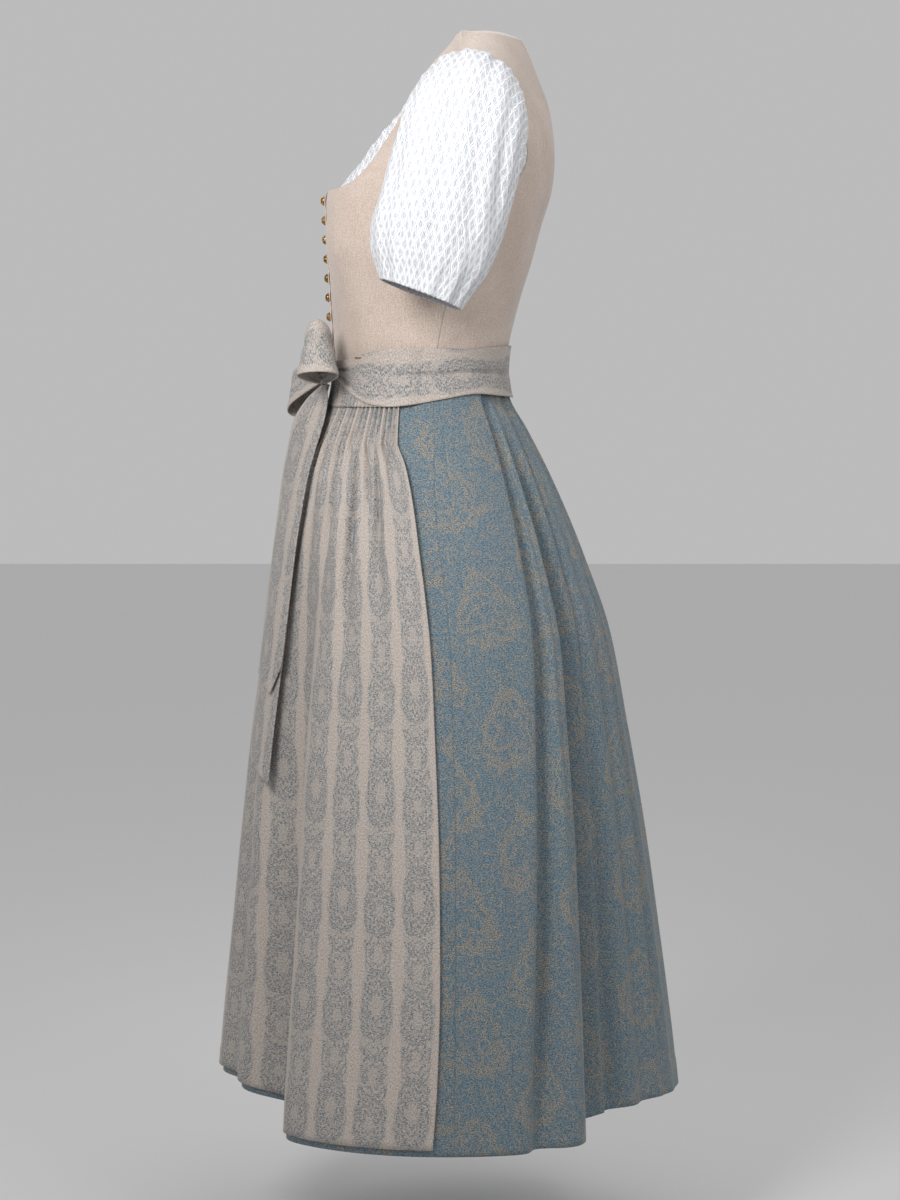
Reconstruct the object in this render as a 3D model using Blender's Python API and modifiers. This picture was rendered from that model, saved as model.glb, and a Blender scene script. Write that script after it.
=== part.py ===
"""Dirndl in its worn form: bodice, short blouse, pleated skirt, gauged apron and its bow.

Metres, +Z up. The front faces -Y and the wearer's left is +X. The origin lies midway between
the shoulder straps, at the height where they rest. Every cloth piece is a thin wall on a form
that is worked out from the tables below: the torso's sections for the bodice and blouse, and
the skirt's sections with its folds for the skirt and apron.
"""

import math

import bmesh
import bpy
import numpy as np
from mathutils import Matrix, Vector

# Cloth thicknesses and the gap left between pieces
WOOL = 0.0018
SKIRT_CLOTH = 0.0013
APRON_CLOTH = 0.0010
TIE_CLOTH = 0.0014
BAND_CLOTH = 0.0012
LACE = 0.0010
SEAM = 0.00016
GAP = 0.0003
BLOUSE_EASE = 0.0012

# Levels
SHOULDER_RIDGE = 0.051
RIDGE_REACH = 0.0001
SHOULDER_SLOPE = 0.466
WAIST = -0.365
SKIRT_HEM = -1.194
APRON_HEM = -1.186
APRON_TOP = -0.350

# The torso's level sections: front_y and back_y on the centre line, widest_y where the side is
# Columns: height, half_width, widest_y, front_y, back_y, back_square
TORSO = (
    (-0.410, 0.1220, -0.0530, -0.1500, 0.0430, 2.0),
    (-0.365, 0.1215, -0.0535, -0.1490, 0.0406, 2.0),
    (-0.330, 0.1230, -0.0500, -0.1530, 0.0440, 2.1),
    (-0.280, 0.1300, -0.0400, -0.1560, 0.0565, 2.2),
    (-0.240, 0.1400, -0.0260, -0.1575, 0.0689, 2.3),
    (-0.198, 0.1490, -0.0120, -0.1595, 0.0802, 2.4),
    (-0.160, 0.1530, -0.0040, -0.1590, 0.0915, 2.4),
    (-0.115, 0.1590, 0.0000, -0.1338, 0.0944, 2.4),
    (-0.069, 0.1650, 0.0000, -0.1058, 0.0885, 2.4),
    (-0.033, 0.1690, 0.0000, -0.0850, 0.0757, 2.4),
    (-0.001, 0.1710, 0.0000, -0.0640, 0.0622, 2.4),
    (0.0235, 0.1700, -0.0010, -0.0400, 0.0470, 2.3),
    (0.0365, 0.1690, -0.0030, -0.0255, 0.0355, 2.2),
    (0.0448, 0.1670, -0.0050, -0.0185, 0.0240, 2.1),
    (0.0493, 0.1660, -0.0080, -0.0130, 0.0100, 2.0),
    (0.051, 0.1650, -0.0094, -0.0094, -0.0094, 2.0),
)
BUST_X, BUST_HEIGHT, BUST_RISE = 0.078, -0.218, 0.015
BUST_WIDTH, BUST_DROP = 0.044, 0.050

# The neckline's edge on the left half, from the centre front up to the shoulder seam
# Columns: x, z
NECKLINE = (
    (0.000, -0.1605),
    (0.040, -0.1612),
    (0.070, -0.1605),
    (0.089, -0.1555),
    (0.0975, -0.1470),
    (0.1015, -0.1290),
    (0.0990, -0.0980),
    (0.0930, -0.0650),
    (0.0895, -0.0350),
    (0.0895, -0.0110),
    (0.0900, SHOULDER_RIDGE - SHOULDER_SLOPE * 0.0900),
)
NECK_CORNER = 4
# The back neckline, from the shoulder seam to the centre back
BACK_NECK = (
    (0.0900, SHOULDER_RIDGE - SHOULDER_SLOPE * 0.0900),
    (0.0760, 0.0100),
    (0.0560, 0.0100),
    (0.0280, 0.0095),
    (0.0, 0.0090),
)
STRAP_OUTER_X = 0.155
STRAP_OUTER_Z = SHOULDER_RIDGE - SHOULDER_SLOPE * STRAP_OUTER_X

# The armhole's edge, by section angle, from the side seam to the shoulder
# Columns: angle, z
ARMHOLE_FRONT = (
    (5.0, -0.1680),
    (-9.0, -0.1665),
    (-19.0, -0.1590),
    (-26.0, -0.1460),
    (-30.0, -0.1280),
    (-32.0, -0.1020),
    (-32.0, -0.0720),
    (-29.0, -0.0420),
    (-20.0, STRAP_OUTER_Z),
)
ARMHOLE_BACK = (
    (5.0, -0.1680),
    (17.0, -0.1665),
    (26.0, -0.1580),
    (32.0, -0.1420),
    (34.0, -0.1200),
    (34.0, -0.0900),
    (32.0, -0.0620),
    (28.0, -0.0380),
    (20.0, STRAP_OUTER_Z),
)
BODICE_SIDE_ANGLE = 9.0

# The skirt's level sections, as the ridges of its folds reach
# Columns: z, half_width, front_y, back_y
SKIRT = (
    (-1.190, 0.2700, -0.2835, 0.2410),
    (-1.104, 0.2650, -0.2770, 0.2315),
    (-0.992, 0.2560, -0.2655, 0.2165),
    (-0.868, 0.2450, -0.2530, 0.1985),
    (-0.7515, 0.2300, -0.2400, 0.1780),
    (-0.6475, 0.2150, -0.2235, 0.1575),
    (-0.564, 0.1990, -0.2080, 0.1280),
    (-0.521, 0.1870, -0.1985, 0.1107),
    (-0.471, 0.1700, -0.1860, 0.0881),
    (-0.425, 0.1480, -0.1680, 0.0644),
    (-0.395, 0.1300, -0.1545, 0.0470),
    (-0.365, 0.1215, -0.1490, 0.0406),
)
APRON_STAND_OFF = 0.0052
# Columns across each width of the skirt
SKIRT_COLUMNS = 24
SKIRT_LEVELS = (WAIST - SEAM, -0.395, -0.430, -0.480, -0.550, -0.650, -0.780, -0.910, -1.050)
APRON_LEVELS = (APRON_TOP, -0.367, -0.384, -0.402, -0.433, -0.475, -0.560, -0.690, -0.850, -1.020)

# The skirt's folds: where each valley lies, how deep it is and how far it spreads to each side
# Columns: waist_angle, hem_angle, waist_depth, hem_depth, front_width, back_width, start
FOLDS = (
    (-151.0, -153.0, 0.001, 0.018, 7.0, 7.0, 0.25),
    (-122.0, -128.0, 0.001, 0.048, 13.0, 9.0, 0.15),
    (-100.0, -101.0, 0.000, 0.020, 8.0, 8.0, 0.25),
    (-72.0, -77.0, 0.000, 0.016, 6.0, 7.0, 0.30),
    (-46.0, -54.0, 0.001, 0.056, 15.0, 8.0, 0.12),
    (46.0, 22.0, 0.004, 0.015, 3.5, 8.0, 0.0),
    (56.0, 45.0, 0.004, 0.064, 9.0, 21.0, 0.0),
    (70.0, 66.0, 0.004, 0.012, 4.0, 7.0, 0.0),
    (82.0, 80.0, 0.004, 0.003, 3.5, 6.0, 0.0),
    (95.0, 101.0, 0.004, 0.024, 9.0, 8.0, 0.0),
    (107.0, 119.0, 0.004, 0.014, 7.0, 5.0, 0.0),
    (121.0, 133.0, 0.004, 0.052, 19.0, 9.0, 0.0),
    (135.0, 159.0, 0.004, 0.014, 8.0, 4.0, 0.0),
)
# Columns: angle, rise
HEM_RISE = ((-180.0, 0.002), (-130.0, 0.020), (-90.0, 0.040), (-60.0, 0.026), (-52.0, 0.008),
            (-45.0, 0.001), (0.0, 0.0), (38.0, 0.003), (60.0, 0.020), (90.0, 0.025), (120.0, 0.018), (180.0, 0.002))

# Where the side seam and the apron's edge run, as section angles on the left side
# Columns: z, angle
SIDE_SEAM = ((-1.190, 0.7), (-1.0, 1.8), (-0.75, 3.3), (-0.60, 2.8), (-0.51, 2.8), (-0.44, 5.5), (-0.365, 9.0))
APRON_EDGE = ((-1.185, -4.2), (-1.12, -3.0), (-1.0, -2.0), (-0.76, -2.0), (-0.60, -4.0), (-0.55, -5.0),
              (-0.50, -6.3), (-0.47, -8.0), (-0.455, -10.0), (-0.44, -13.0), (-0.34, -13.0))

# The apron's gauged top and what it lets go below
HEADER_PLEATS = 50
HEADER_DEPTH = 0.0012
HEADER_LOW = -0.432
RELEASE_END = -0.500
GATHER_WAVES = 15
GATHER_DEPTH = 0.0042
GATHER_PEAK, GATHER_END = -0.475, -0.760

# The tie round the waist: its two edges on the left, by section angle
# Columns: angle, top_z, low_z
SASH = (
    (-90.0, -0.3530, -0.3700),
    (-68.0, -0.3540, -0.3700),
    (-55.0, -0.3500, -0.3800),
    (-44.0, -0.3460, -0.3900),
    (-34.0, -0.3420, -0.3970),
    (-22.0, -0.3385, -0.4005),
    (-8.0, -0.3370, -0.3990),
    (12.0, -0.3376, -0.3930),
    (35.0, -0.3380, -0.3870),
    (60.0, -0.3350, -0.3890),
    (90.0, -0.3330, -0.3910),
)
SASH_CENTRE = -75.0
WAISTBAND_TOP = -0.3520
WAISTBAND_LEVELS = (-0.4010, -0.3840, -0.3670, WAISTBAND_TOP)
WAISTBAND_CLOTH = 0.0010
BAND_COLUMNS = 30
HEADER_OUT = 0.0031
WAISTBAND_OUT = HEADER_OUT + HEADER_DEPTH + GAP + WAISTBAND_CLOTH + 0.0004
SASH_OUT_FRONT = WAISTBAND_OUT + GAP + TIE_CLOTH + 0.0004
SASH_OUT_BACK = 0.0032

# The left sleeve's rings, from the armhole to the cuff
# Columns: top_x, top_z, under_x, under_z, front_y, back_y, tilt
SLEEVE = (
    (0.169, -0.0180, 0.161, -0.1690, -0.0620, 0.0580, 0.0),
    (0.198, -0.0230, 0.165, -0.1770, -0.0690, 0.0610, 0.0),
    (0.232, -0.0480, 0.167, -0.1880, -0.0790, 0.0590, 0.0),
    (0.255, -0.0930, 0.168, -0.2010, -0.0880, 0.0525, 0.002),
    (0.267, -0.1460, 0.167, -0.2170, -0.0965, 0.0435, 0.004),
    (0.271, -0.1980, 0.165, -0.2380, -0.1065, 0.0320, 0.008),
    (0.266, -0.2420, 0.166, -0.2600, -0.1060, 0.0150, 0.013),
    (0.258, -0.2800, 0.171, -0.2840, -0.0975, -0.0100, 0.0165),
)
SLEEVE_AROUND = 28
SEAM_SAMPLES = 40
SLEEVE_FOLDS = 7
SLEEVE_FOLD_DEPTH = 0.0035

# The blouse's neck edge and its hidden edge under the bodice, left half
# Columns: neck_x, neck_z, under_x, under_z, neck_in
BLOUSE = (
    (0.0006, -0.1575, 0.0006, -0.1800, 0.0030),
    (0.0200, -0.1545, 0.0250, -0.1810, 0.0070),
    (0.0430, -0.1430, 0.0550, -0.1810, 0.0085),
    (0.0640, -0.1190, 0.0880, -0.1780, 0.0040),
    (0.0720, -0.0985, 0.1150, -0.1600, 0.0010),
    (0.0800, -0.0870, 0.1200, -0.1330, 0.0),
    (0.0845, -0.0730, 0.1180, -0.1030, 0.0),
    (0.0860, -0.0550, 0.1120, -0.0720, 0.0),
    (0.0865, -0.0350, 0.1050, -0.0450, 0.0),
    (0.0870, -0.0150, 0.1030, -0.0250, 0.0),
)

# Buttons down the band
BAND_HALF_WIDTH = 0.011
BAND_LOW = -0.3485
BUTTONS = 8
BUTTON_TOP_Z = -0.1712
BUTTON_PITCH = 0.02155
BUTTON_RADIUS = 0.0053
BUTTON_RISE = 0.0046

# The bow, left of the centre front
KNOT = Vector((0.034, -0.1640, -0.3610))
KNOT_SIZE = Vector((0.0130, 0.0085, 0.0165))
# Columns: side, out, forward, up, length, thickness, end_width, knot_gap, start_z
LOOPS = {
    "bow_loop_left": (1.0, 0.84, -0.06, 0.42, 0.072, 0.040, 0.064, 0.0042, -0.005),
    "bow_loop_right": (-1.0, -0.82, -0.46, -0.35, 0.074, 0.028, 0.052, 0.0028, -0.002),
}
LOOP_KNOT_WIDTH = 0.022
# How much wider a loop opens at its lower edge than at its upper
LOOP_FLARE = 0.7
# Columns: z, angle, half_width, stand_off, lean
TAILS = {
    "bow_tail_upper": (
        (-0.3772, -73.0, 0.011, 0.0168, 0.0000),
        (-0.3900, -72.5, 0.018, 0.0225, 0.0060),
        (-0.4050, -72.0, 0.024, 0.0248, 0.0095),
        (-0.4200, -71.0, 0.027, 0.0240, 0.0100),
        (-0.4600, -69.0, 0.030, 0.0210, 0.0060),
        (-0.5300, -67.0, 0.032, 0.0182, 0.0020),
        (-0.6100, -65.5, 0.033, 0.0155, 0.0005),
        (-0.6800, -65.0, 0.033, 0.0135, 0.0),
        (-0.7150, -65.0, 0.033, 0.0130, 0.0),
    ),
    "bow_tail_lower": (
        (-0.3764, -74.5, 0.009, 0.0122, 0.0),
        (-0.4000, -78.0, 0.018, 0.0160, 0.0),
        (-0.4300, -78.0, 0.024, 0.0170, 0.0),
        (-0.4700, -75.0, 0.028, 0.0155, 0.0),
        (-0.5300, -71.0, 0.031, 0.0135, 0.0),
        (-0.6100, -68.0, 0.033, 0.0105, 0.0),
        (-0.7000, -67.0, 0.034, 0.0088, 0.0),
        (-0.8140, -67.0, 0.034, 0.0082, 0.0),
    ),
}
# How far each tail's cut end rises at its edges and between them, from the front edge back
TAIL_ENDS = {
    "bow_tail_upper": (0.019, 0.013, 0.006, 0.0, 0.031),
    "bow_tail_lower": (0.024, 0.018, 0.012, 0.006, 0.0),
}
TAIL_COLUMN_COUNT = 4
TAIL_RIPPLE = 0.0008
TAIL_ROW_SPREAD = 1.35

PIN_ANGLE, PIN_Z = -42.0, -0.3475
PIN_LENGTH, PIN_RADIUS = 0.009, 0.0009

COLOURS = {
    "wool": ((0.53, 0.42, 0.36), 0.85, 0.0),
    "skirt": ((0.14, 0.23, 0.31), 0.7, 0.0),
    "apron": ((0.48, 0.40, 0.35), 0.65, 0.0),
    "lace": ((0.86, 0.87, 0.90), 0.8, 0.0),
    "bronze": ((0.38, 0.20, 0.09), 0.35, 1.0),
}


def smooth_step(low, high, value):
    """0 below low, 1 above high, and a smooth rise between."""
    share = min(max((value - low) / (high - low), 0.0), 1.0)
    return share * share * (3.0 - 2.0 * share)


def read_table(rows, value):
    """The columns after the first, at this value of the first, on a smooth curve through the rows."""
    table = np.array(sorted(rows), dtype=float)
    keys = table[:, 0]
    value = min(max(value, keys[0]), keys[-1])
    low = int(np.clip(np.searchsorted(keys, value) - 1, 0, len(keys) - 2))
    span = keys[low + 1] - keys[low]
    share = (value - keys[low]) / span

    def slope(row):
        before = max(row - 1, 0)
        after = min(row + 1, len(keys) - 1)
        return (table[after, 1:] - table[before, 1:]) / (keys[after] - keys[before])

    first, last = table[low, 1:], table[low + 1, 1:]
    square, cube = share * share, share ** 3
    return (
        first * (2 * cube - 3 * square + 1)
        + last * (3 * square - 2 * cube)
        + slope(low) * span * (cube - 2 * square + share)
        + slope(low + 1) * span * (cube - square)
    )


def read_path(rows, share):
    """A point along a list of rows, at this share of its steps."""
    return read_table([(index, *row) for index, row in enumerate(rows)], share * (len(rows) - 1))


def shoulder_drop(height):
    """How much a level falls for each metre out from the centre."""
    return SHOULDER_SLOPE * smooth_step(-0.17, 0.0, height)


def torso(angle, height, out=0.0):
    """A point of the torso's form. Angle -90 is the centre front, 0 the left side, 90 the centre back."""
    half_width, widest_y, front_y, back_y, back_square = read_table(TORSO, height)
    turn = math.radians(angle)
    side = math.cos(turn)
    front = math.sin(turn) < 0
    square = 2.0 if front else back_square
    reach = (1.0 - min(abs(side), 1.0) ** square) ** (1.0 / square)
    x = half_width * side
    y = widest_y + (front_y - widest_y if front else back_y - widest_y) * reach
    if front:
        swell = math.exp(-(((abs(x) - BUST_X) / BUST_WIDTH) ** 2) - ((height - BUST_HEIGHT) / BUST_DROP) ** 2)
        y -= BUST_RISE * swell * smooth_step(0.0, 0.35, reach)
    point = Vector((x, y, height - shoulder_drop(height) * abs(x)))
    if not out:
        return point
    return point + out * outward(torso, angle, height)


def outward(form, angle, height):
    """The form's unit normal, pointing out."""
    along = form(angle + 0.5, height) - form(angle - 0.5, height)
    up = form(angle, min(height + 0.001, SHOULDER_RIDGE)) - form(angle, height - 0.001)
    return along.cross(up).normalized()


def height_at(z, x):
    """The section height whose point at this x lies at this z."""
    low, high = -0.45, SHOULDER_RIDGE
    for _ in range(40):
        middle = (low + high) / 2
        if middle - shoulder_drop(middle) * abs(x) < z:
            low = middle
        else:
            high = middle
    return (low + high) / 2


def by_x(x, z, front=True):
    """Section angle and height of the point of the torso at this x and z."""
    height = height_at(z, x)
    half_width = read_table(TORSO, height)[0]
    angle = math.degrees(math.acos(min(max(x / half_width, -1.0), 1.0)))
    return (-angle if front else angle), height


def by_angle(angle, z):
    """Section angle and height of the point of the torso at this angle and z."""
    height = z
    for _ in range(30):
        x = read_table(TORSO, height)[0] * math.cos(math.radians(angle))
        height = height_at(z, x)
    return angle, height


def mix(first, last, share):
    return tuple(a + (b - a) * share for a, b in zip(first, last))


def neckline(share):
    """The neckline from its corner (0) up to the shoulder seam (1)."""
    return by_x(*read_path(NECKLINE[NECK_CORNER:], share))


def armhole(rows, share):
    angle, z = read_path(rows, share)
    if share >= 1.0:
        return by_x(STRAP_OUTER_X, STRAP_OUTER_Z, rows is ARMHOLE_FRONT)
    return by_angle(angle, z)


def skirt_base(angle, z):
    """The skirt's section without folds."""
    half_width, front_y, back_y = read_table(SKIRT, z)
    centre, half_depth = (front_y + back_y) / 2, (back_y - front_y) / 2
    turn = math.radians(angle)
    return Vector((half_width * math.cos(turn), centre + half_depth * math.sin(turn), z))


def turned(angle):
    """The angle between -180 and 180."""
    return (angle + 180.0) % 360.0 - 180.0


def fold_depth(angle, z):
    """How far the skirt's folds take it in."""
    fall = min(max((WAIST - z) / (WAIST - SKIRT_HEM), 0.0), 1.0)
    depth = 0.0
    for waist_angle, hem_angle, waist_depth, hem_depth, front_width, back_width, start in FOLDS:
        middle = waist_angle + (hem_angle - waist_angle) * fall ** 0.7
        away = turned(angle - middle)
        width = (front_width if away < 0 else back_width) * (0.55 + 0.45 * fall)
        grown = smooth_step(start * 0.8, 1.0, fall) ** 0.8
        amount = waist_depth * (1.0 - fall) + hem_depth * grown
        depth += amount * math.exp(-((away / width) ** 2) * 1.4)
    return depth


def skirt(angle, z, out=0.0):
    """A point of the skirt's outer face, with its folds."""
    base = skirt_base(angle, z)
    centre = Vector((0.0, sum(read_table(SKIRT, z)[1:]) / 2, z))
    ray = base - centre
    return base + ray.normalized() * (out - fold_depth(angle, z))


def hem_height(level, angle):
    return level + read_table(HEM_RISE, turned(angle))[0]


def row_height(levels, row, angle, hem):
    """The height of a row counted from the hem, whose own height follows its rise."""
    return hem_height(hem, angle) if row == 0 else levels[-row]


def waist_form(angle, z, out):
    """The form under the tie: the bodice above the waist seam and the skirt below it."""
    base = torso(angle, z) if z >= WAIST else skirt_base(angle, z)
    centre = Vector((0.0, -0.0535, z))
    return base + (base - centre).normalized() * out


def apron(angle, z):
    """A point of the apron's outer face: the skirt's folds, its own gauging and the gathers below."""
    left, right = apron_edges(z)
    across = (angle - right) / (left - right)
    header = HEADER_DEPTH if z >= HEADER_LOW else HEADER_DEPTH * smooth_step(RELEASE_END, HEADER_LOW, z)
    wave = header * math.cos(2.0 * math.pi * HEADER_PLEATS * across)
    swell = smooth_step(GATHER_END, GATHER_PEAK, z) * smooth_step(-HEADER_LOW, -GATHER_PEAK, -z)
    lean = 0.6 * math.sin(5.0 * across) + 0.5 * math.sin(13.0 * across + 1.0)
    uneven = 0.7 + 0.3 * math.sin(17.0 * across)
    wave += GATHER_DEPTH * swell * uneven * math.cos(2.0 * math.pi * GATHER_WAVES * across + lean)
    low_share = smooth_step(0.402, 0.475, -z)
    stand_off = HEADER_OUT + (APRON_STAND_OFF - HEADER_OUT + 0.003 * swell) * low_share
    if z >= WAIST:
        return waist_form(angle, z, stand_off + wave)
    return skirt(angle, z, stand_off + wave)


def apron_edges(z):
    """The section angles of the apron's left and right edges."""
    left = read_table(APRON_EDGE, z)[0]
    return left, -180.0 - left


def new_object(name, mesh_builder, material, collection):
    mesh = bpy.data.meshes.new(name)
    mesh_builder.to_mesh(mesh)
    mesh_builder.free()
    piece = bpy.data.objects.new(name, mesh)
    mesh.materials.append(material)
    collection.objects.link(piece)
    return piece


def laid_grid(columns, rows, place, keep=None):
    """A grid laid on its form by place(column, row), without the cells that keep leaves out."""
    builder = bmesh.new()
    bmesh.ops.create_grid(builder, x_segments=columns, y_segments=rows, size=1.0)
    for vert in builder.verts:
        column = round((vert.co.x + 1.0) / 2.0 * columns)
        row = round((vert.co.y + 1.0) / 2.0 * rows)
        vert.co = Vector((column, row, 0.0))
    if keep:
        outside = [face for face in builder.faces if not keep(*(int(c) for c in face.calc_center_median()[:2]))]
        bmesh.ops.delete(builder, geom=outside, context="FACES")
    spots = {vert: (int(round(vert.co.x)), int(round(vert.co.y))) for vert in builder.verts}
    for vert, spot in spots.items():
        vert.co = place(*spot)
    return builder, spots


def fitted_sheet(name, columns, rows, place, wall, material, collection, keep=None):
    """A cloth piece whose wall follows its form's own normals, so that neighbours meet edge to edge.

    place(column, row, out) gives the form's point, moved out by that much. Both faces of the
    wall have the same diagonals, so that they can't cross in a deep fold.
    """
    builder, spots = laid_grid(columns, rows, lambda column, row: place(column, row, 0.0), keep)
    bmesh.ops.triangulate(builder, faces=builder.faces)
    rims = [(edge, edge.link_loops[0].vert, edge.link_loops[0].link_loop_next.vert)
            for edge in builder.edges if edge.is_boundary]
    inner = {vert: builder.verts.new(place(*spot, -wall)) for vert, spot in spots.items()}
    for face in list(builder.faces):
        builder.faces.new([inner[vert] for vert in reversed(face.verts)])
    for _, first, last in rims:
        builder.faces.new((last, first, inner[first], inner[last]))
    return new_object(name, builder, material, collection)


def sheet(name, columns, rows, place, wall, material, collection, closed=False):
    """A cloth piece: a grid laid on its form by place(column, row), with a wall grown inwards."""
    builder, _ = laid_grid(columns, rows, place)
    if closed:
        bmesh.ops.remove_doubles(builder, verts=builder.verts, dist=0.00002)
    piece = new_object(name, builder, material, collection)
    shell = piece.modifiers.new("wall", "SOLIDIFY")
    shell.thickness = wall
    shell.offset = -1.0
    return piece


def make_material(name):
    colour, roughness, metallic = COLOURS[name]
    material = bpy.data.materials.new(name)
    material.use_nodes = True
    shader = material.node_tree.nodes["Principled BSDF"]
    shader.inputs["Base Color"].default_value = (*colour, 1.0)
    shader.inputs["Roughness"].default_value = roughness
    shader.inputs["Metallic"].default_value = metallic
    material.diffuse_color = (*colour, 1.0)
    return material


def mirrored(point):
    return Vector((-point.x, point.y, point.z))


def strap_point(angle, height, out, apart):
    """A point of the bodice. On the shoulder seam its wall stands straight up, a seam's gap from its neighbour."""
    if height < SHOULDER_RIDGE - RIDGE_REACH:
        return torso(angle, height, out)
    point = torso(angle, SHOULDER_RIDGE)
    return point + Vector((0.0, apart, out))


def build_bodice_front(name, side, material, collection):
    """One front with its strap: a full-width block up to the underarm, and the strap above it."""
    neck, strap, under = 8, 5, 4
    columns = neck + strap + under
    low_rows, strap_rows = 8, 7
    share_at_corner = 3.0 / 8.0
    edge_gap = math.degrees(SEAM / 0.15)

    def top(column):
        if column <= neck:
            return by_x(*read_path(NECKLINE[:NECK_CORNER + 1], column / neck))
        corner = neckline(0.0)
        joint = armhole(ARMHOLE_FRONT, share_at_corner)
        if column <= neck + strap:
            return mix(corner, joint, (column - neck) / strap)
        return armhole(ARMHOLE_FRONT, share_at_corner * (columns - column) / under)

    def position(column, row, out):
        if row <= low_rows:
            start = -90.0 + (BODICE_SIDE_ANGLE + 90.0) * column / columns
            low = (start, WAIST + SEAM)
            angle, height = mix(low, top(column), row / low_rows)
        else:
            rise = (row - low_rows) / strap_rows
            inner = neckline(rise)
            outer = armhole(ARMHOLE_FRONT, share_at_corner + (1.0 - share_at_corner) * rise)
            angle, height = mix(inner, outer, (column - neck) / strap)
        if column == 0:
            angle += edge_gap
        if column == columns:
            angle -= edge_gap
        return strap_point(angle, height, out, -SEAM)

    def place(column, row, out):
        if side > 0:
            return position(column, row, out)
        return mirrored(position(columns - column, row, out))

    def keep(column, row):
        inner = column if side > 0 else columns - 1 - column
        return row < low_rows or neck <= inner < neck + strap

    return fitted_sheet(name, columns, low_rows + strap_rows, place, WOOL, material, collection, keep)


def build_bodice_back(material, collection):
    """The back in one piece, from side seam to side seam and up over both shoulder seams."""
    under, strap, half_neck = 4, 4, 6
    columns = 2 * (under + strap + half_neck)
    low_rows, high_rows = 8, 7
    share_at_corner = 3.0 / 8.0
    edge_gap = math.degrees(SEAM / 0.15)

    def half_top(column):
        """The upper edge on the left half, from the armhole to the centre back."""
        if column <= strap:
            x = STRAP_OUTER_X + (NECKLINE[-1][0] - STRAP_OUTER_X) * column / strap
            half_width = read_table(TORSO, SHOULDER_RIDGE)[0]
            return math.degrees(math.acos(x / half_width)), SHOULDER_RIDGE
        return by_x(*read_path(BACK_NECK, (column - strap) / half_neck), front=False)

    def half(column, row):
        if row <= low_rows:
            low = (BODICE_SIDE_ANGLE + (90.0 - BODICE_SIDE_ANGLE) * column / (columns / 2), WAIST + SEAM)
            if column <= under:
                high = armhole(ARMHOLE_BACK, share_at_corner * column / under)
            else:
                joint = armhole(ARMHOLE_BACK, share_at_corner)
                middle = (90.0, -0.160)
                high = mix(joint, middle, (column - under) / (columns / 2 - under))
            return mix(low, high, row / low_rows)
        rise = (row - low_rows) / high_rows
        joint = armhole(ARMHOLE_BACK, share_at_corner)
        across = (column - under) / (columns / 2 - under)
        base = mix(joint, (90.0, -0.160), across)
        edge = armhole(ARMHOLE_BACK, share_at_corner + (1.0 - share_at_corner) * rise)
        straight_edge = mix(joint, half_top(0), rise)
        inside = mix(base, half_top(column - under), rise)
        bend = (1.0 - across) ** 2
        return tuple(a + (b - c) * bend for a, b, c in zip(inside, edge, straight_edge))

    def place(column, row, out):
        left = column <= columns / 2
        inner = column if left else columns - column
        angle, height = half(inner, row)
        if inner == 0:
            angle += edge_gap
        point = strap_point(angle, height, out, SEAM)
        return point if left else mirrored(point)

    def keep(column, row):
        return row < low_rows or under <= column < columns - under

    return fitted_sheet("bodice_back", columns, low_rows + high_rows, place, WOOL, material, collection, keep)


def build_button_band(material, collection):
    """The strip that carries the buttons, over the meeting edges of the fronts."""
    rows = 10

    def place(column, row):
        x = BAND_HALF_WIDTH * (column - 1)
        z = BAND_LOW + (NECKLINE[0][1] - 0.0005 - BAND_LOW) * row / rows
        angle, height = by_x(x, z)
        return torso(angle, height, GAP + BAND_CLOTH + 0.0003)

    return sheet("bodice_button_band", 2, rows, place, BAND_CLOTH, material, collection)


def build_buttons(material, collection):
    """Domed metal buttons, each a turned profile seated on the band."""
    for number in range(BUTTONS):
        z = BUTTON_TOP_Z - BUTTON_PITCH * number
        angle, height = by_x(0.0, z)
        normal = outward(torso, angle, height)
        seat = torso(angle, height, GAP + BAND_CLOTH + 0.0003 + GAP)
        profile = ((BUTTON_RADIUS * 0.62, 0.0), (BUTTON_RADIUS, 0.0009), (BUTTON_RADIUS * 0.94, 0.0018),
                   (BUTTON_RADIUS * 0.62, BUTTON_RISE * 0.84))
        builder = bmesh.new()
        verts = [builder.verts.new((0.0, 0.0, 0.0))]
        verts += [builder.verts.new((radius, 0.0, rise)) for radius, rise in profile]
        verts.append(builder.verts.new((0.0, 0.0, BUTTON_RISE)))
        edges = [builder.edges.new(pair) for pair in zip(verts, verts[1:])]
        bmesh.ops.spin(builder, geom=verts + edges, cent=(0, 0, 0), axis=(0, 0, 1), angle=math.tau,
                       steps=10, use_merge=True)
        bmesh.ops.remove_doubles(builder, verts=builder.verts, dist=0.00001)
        bmesh.ops.recalc_face_normals(builder, faces=builder.faces)
        turn = normal.to_track_quat("Z", "Y").to_matrix().to_4x4()
        bmesh.ops.transform(builder, matrix=Matrix.Translation(seat) @ turn, verts=builder.verts)
        new_object(f"button_{number + 1}", builder, material, collection)


def build_blouse_front(name, side, material, collection):
    columns, rows = 14, 3

    def position(column, row, out):
        neck_x, neck_z, under_x, under_z, neck_in = read_path(BLOUSE, column / columns)
        x, z = mix((neck_x, neck_z), (under_x, under_z), row / rows)
        angle, height = by_x(x, z)
        inward = WOOL + BLOUSE_EASE + float(neck_in) * (1.0 - row / rows)
        return torso(angle, height, out - inward)

    def place(column, row, out):
        if side > 0:
            return position(column, rows - row, out)
        return mirrored(position(columns - column, rows - row, out))

    return fitted_sheet(name, columns, rows, place, LACE, material, collection)


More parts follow.
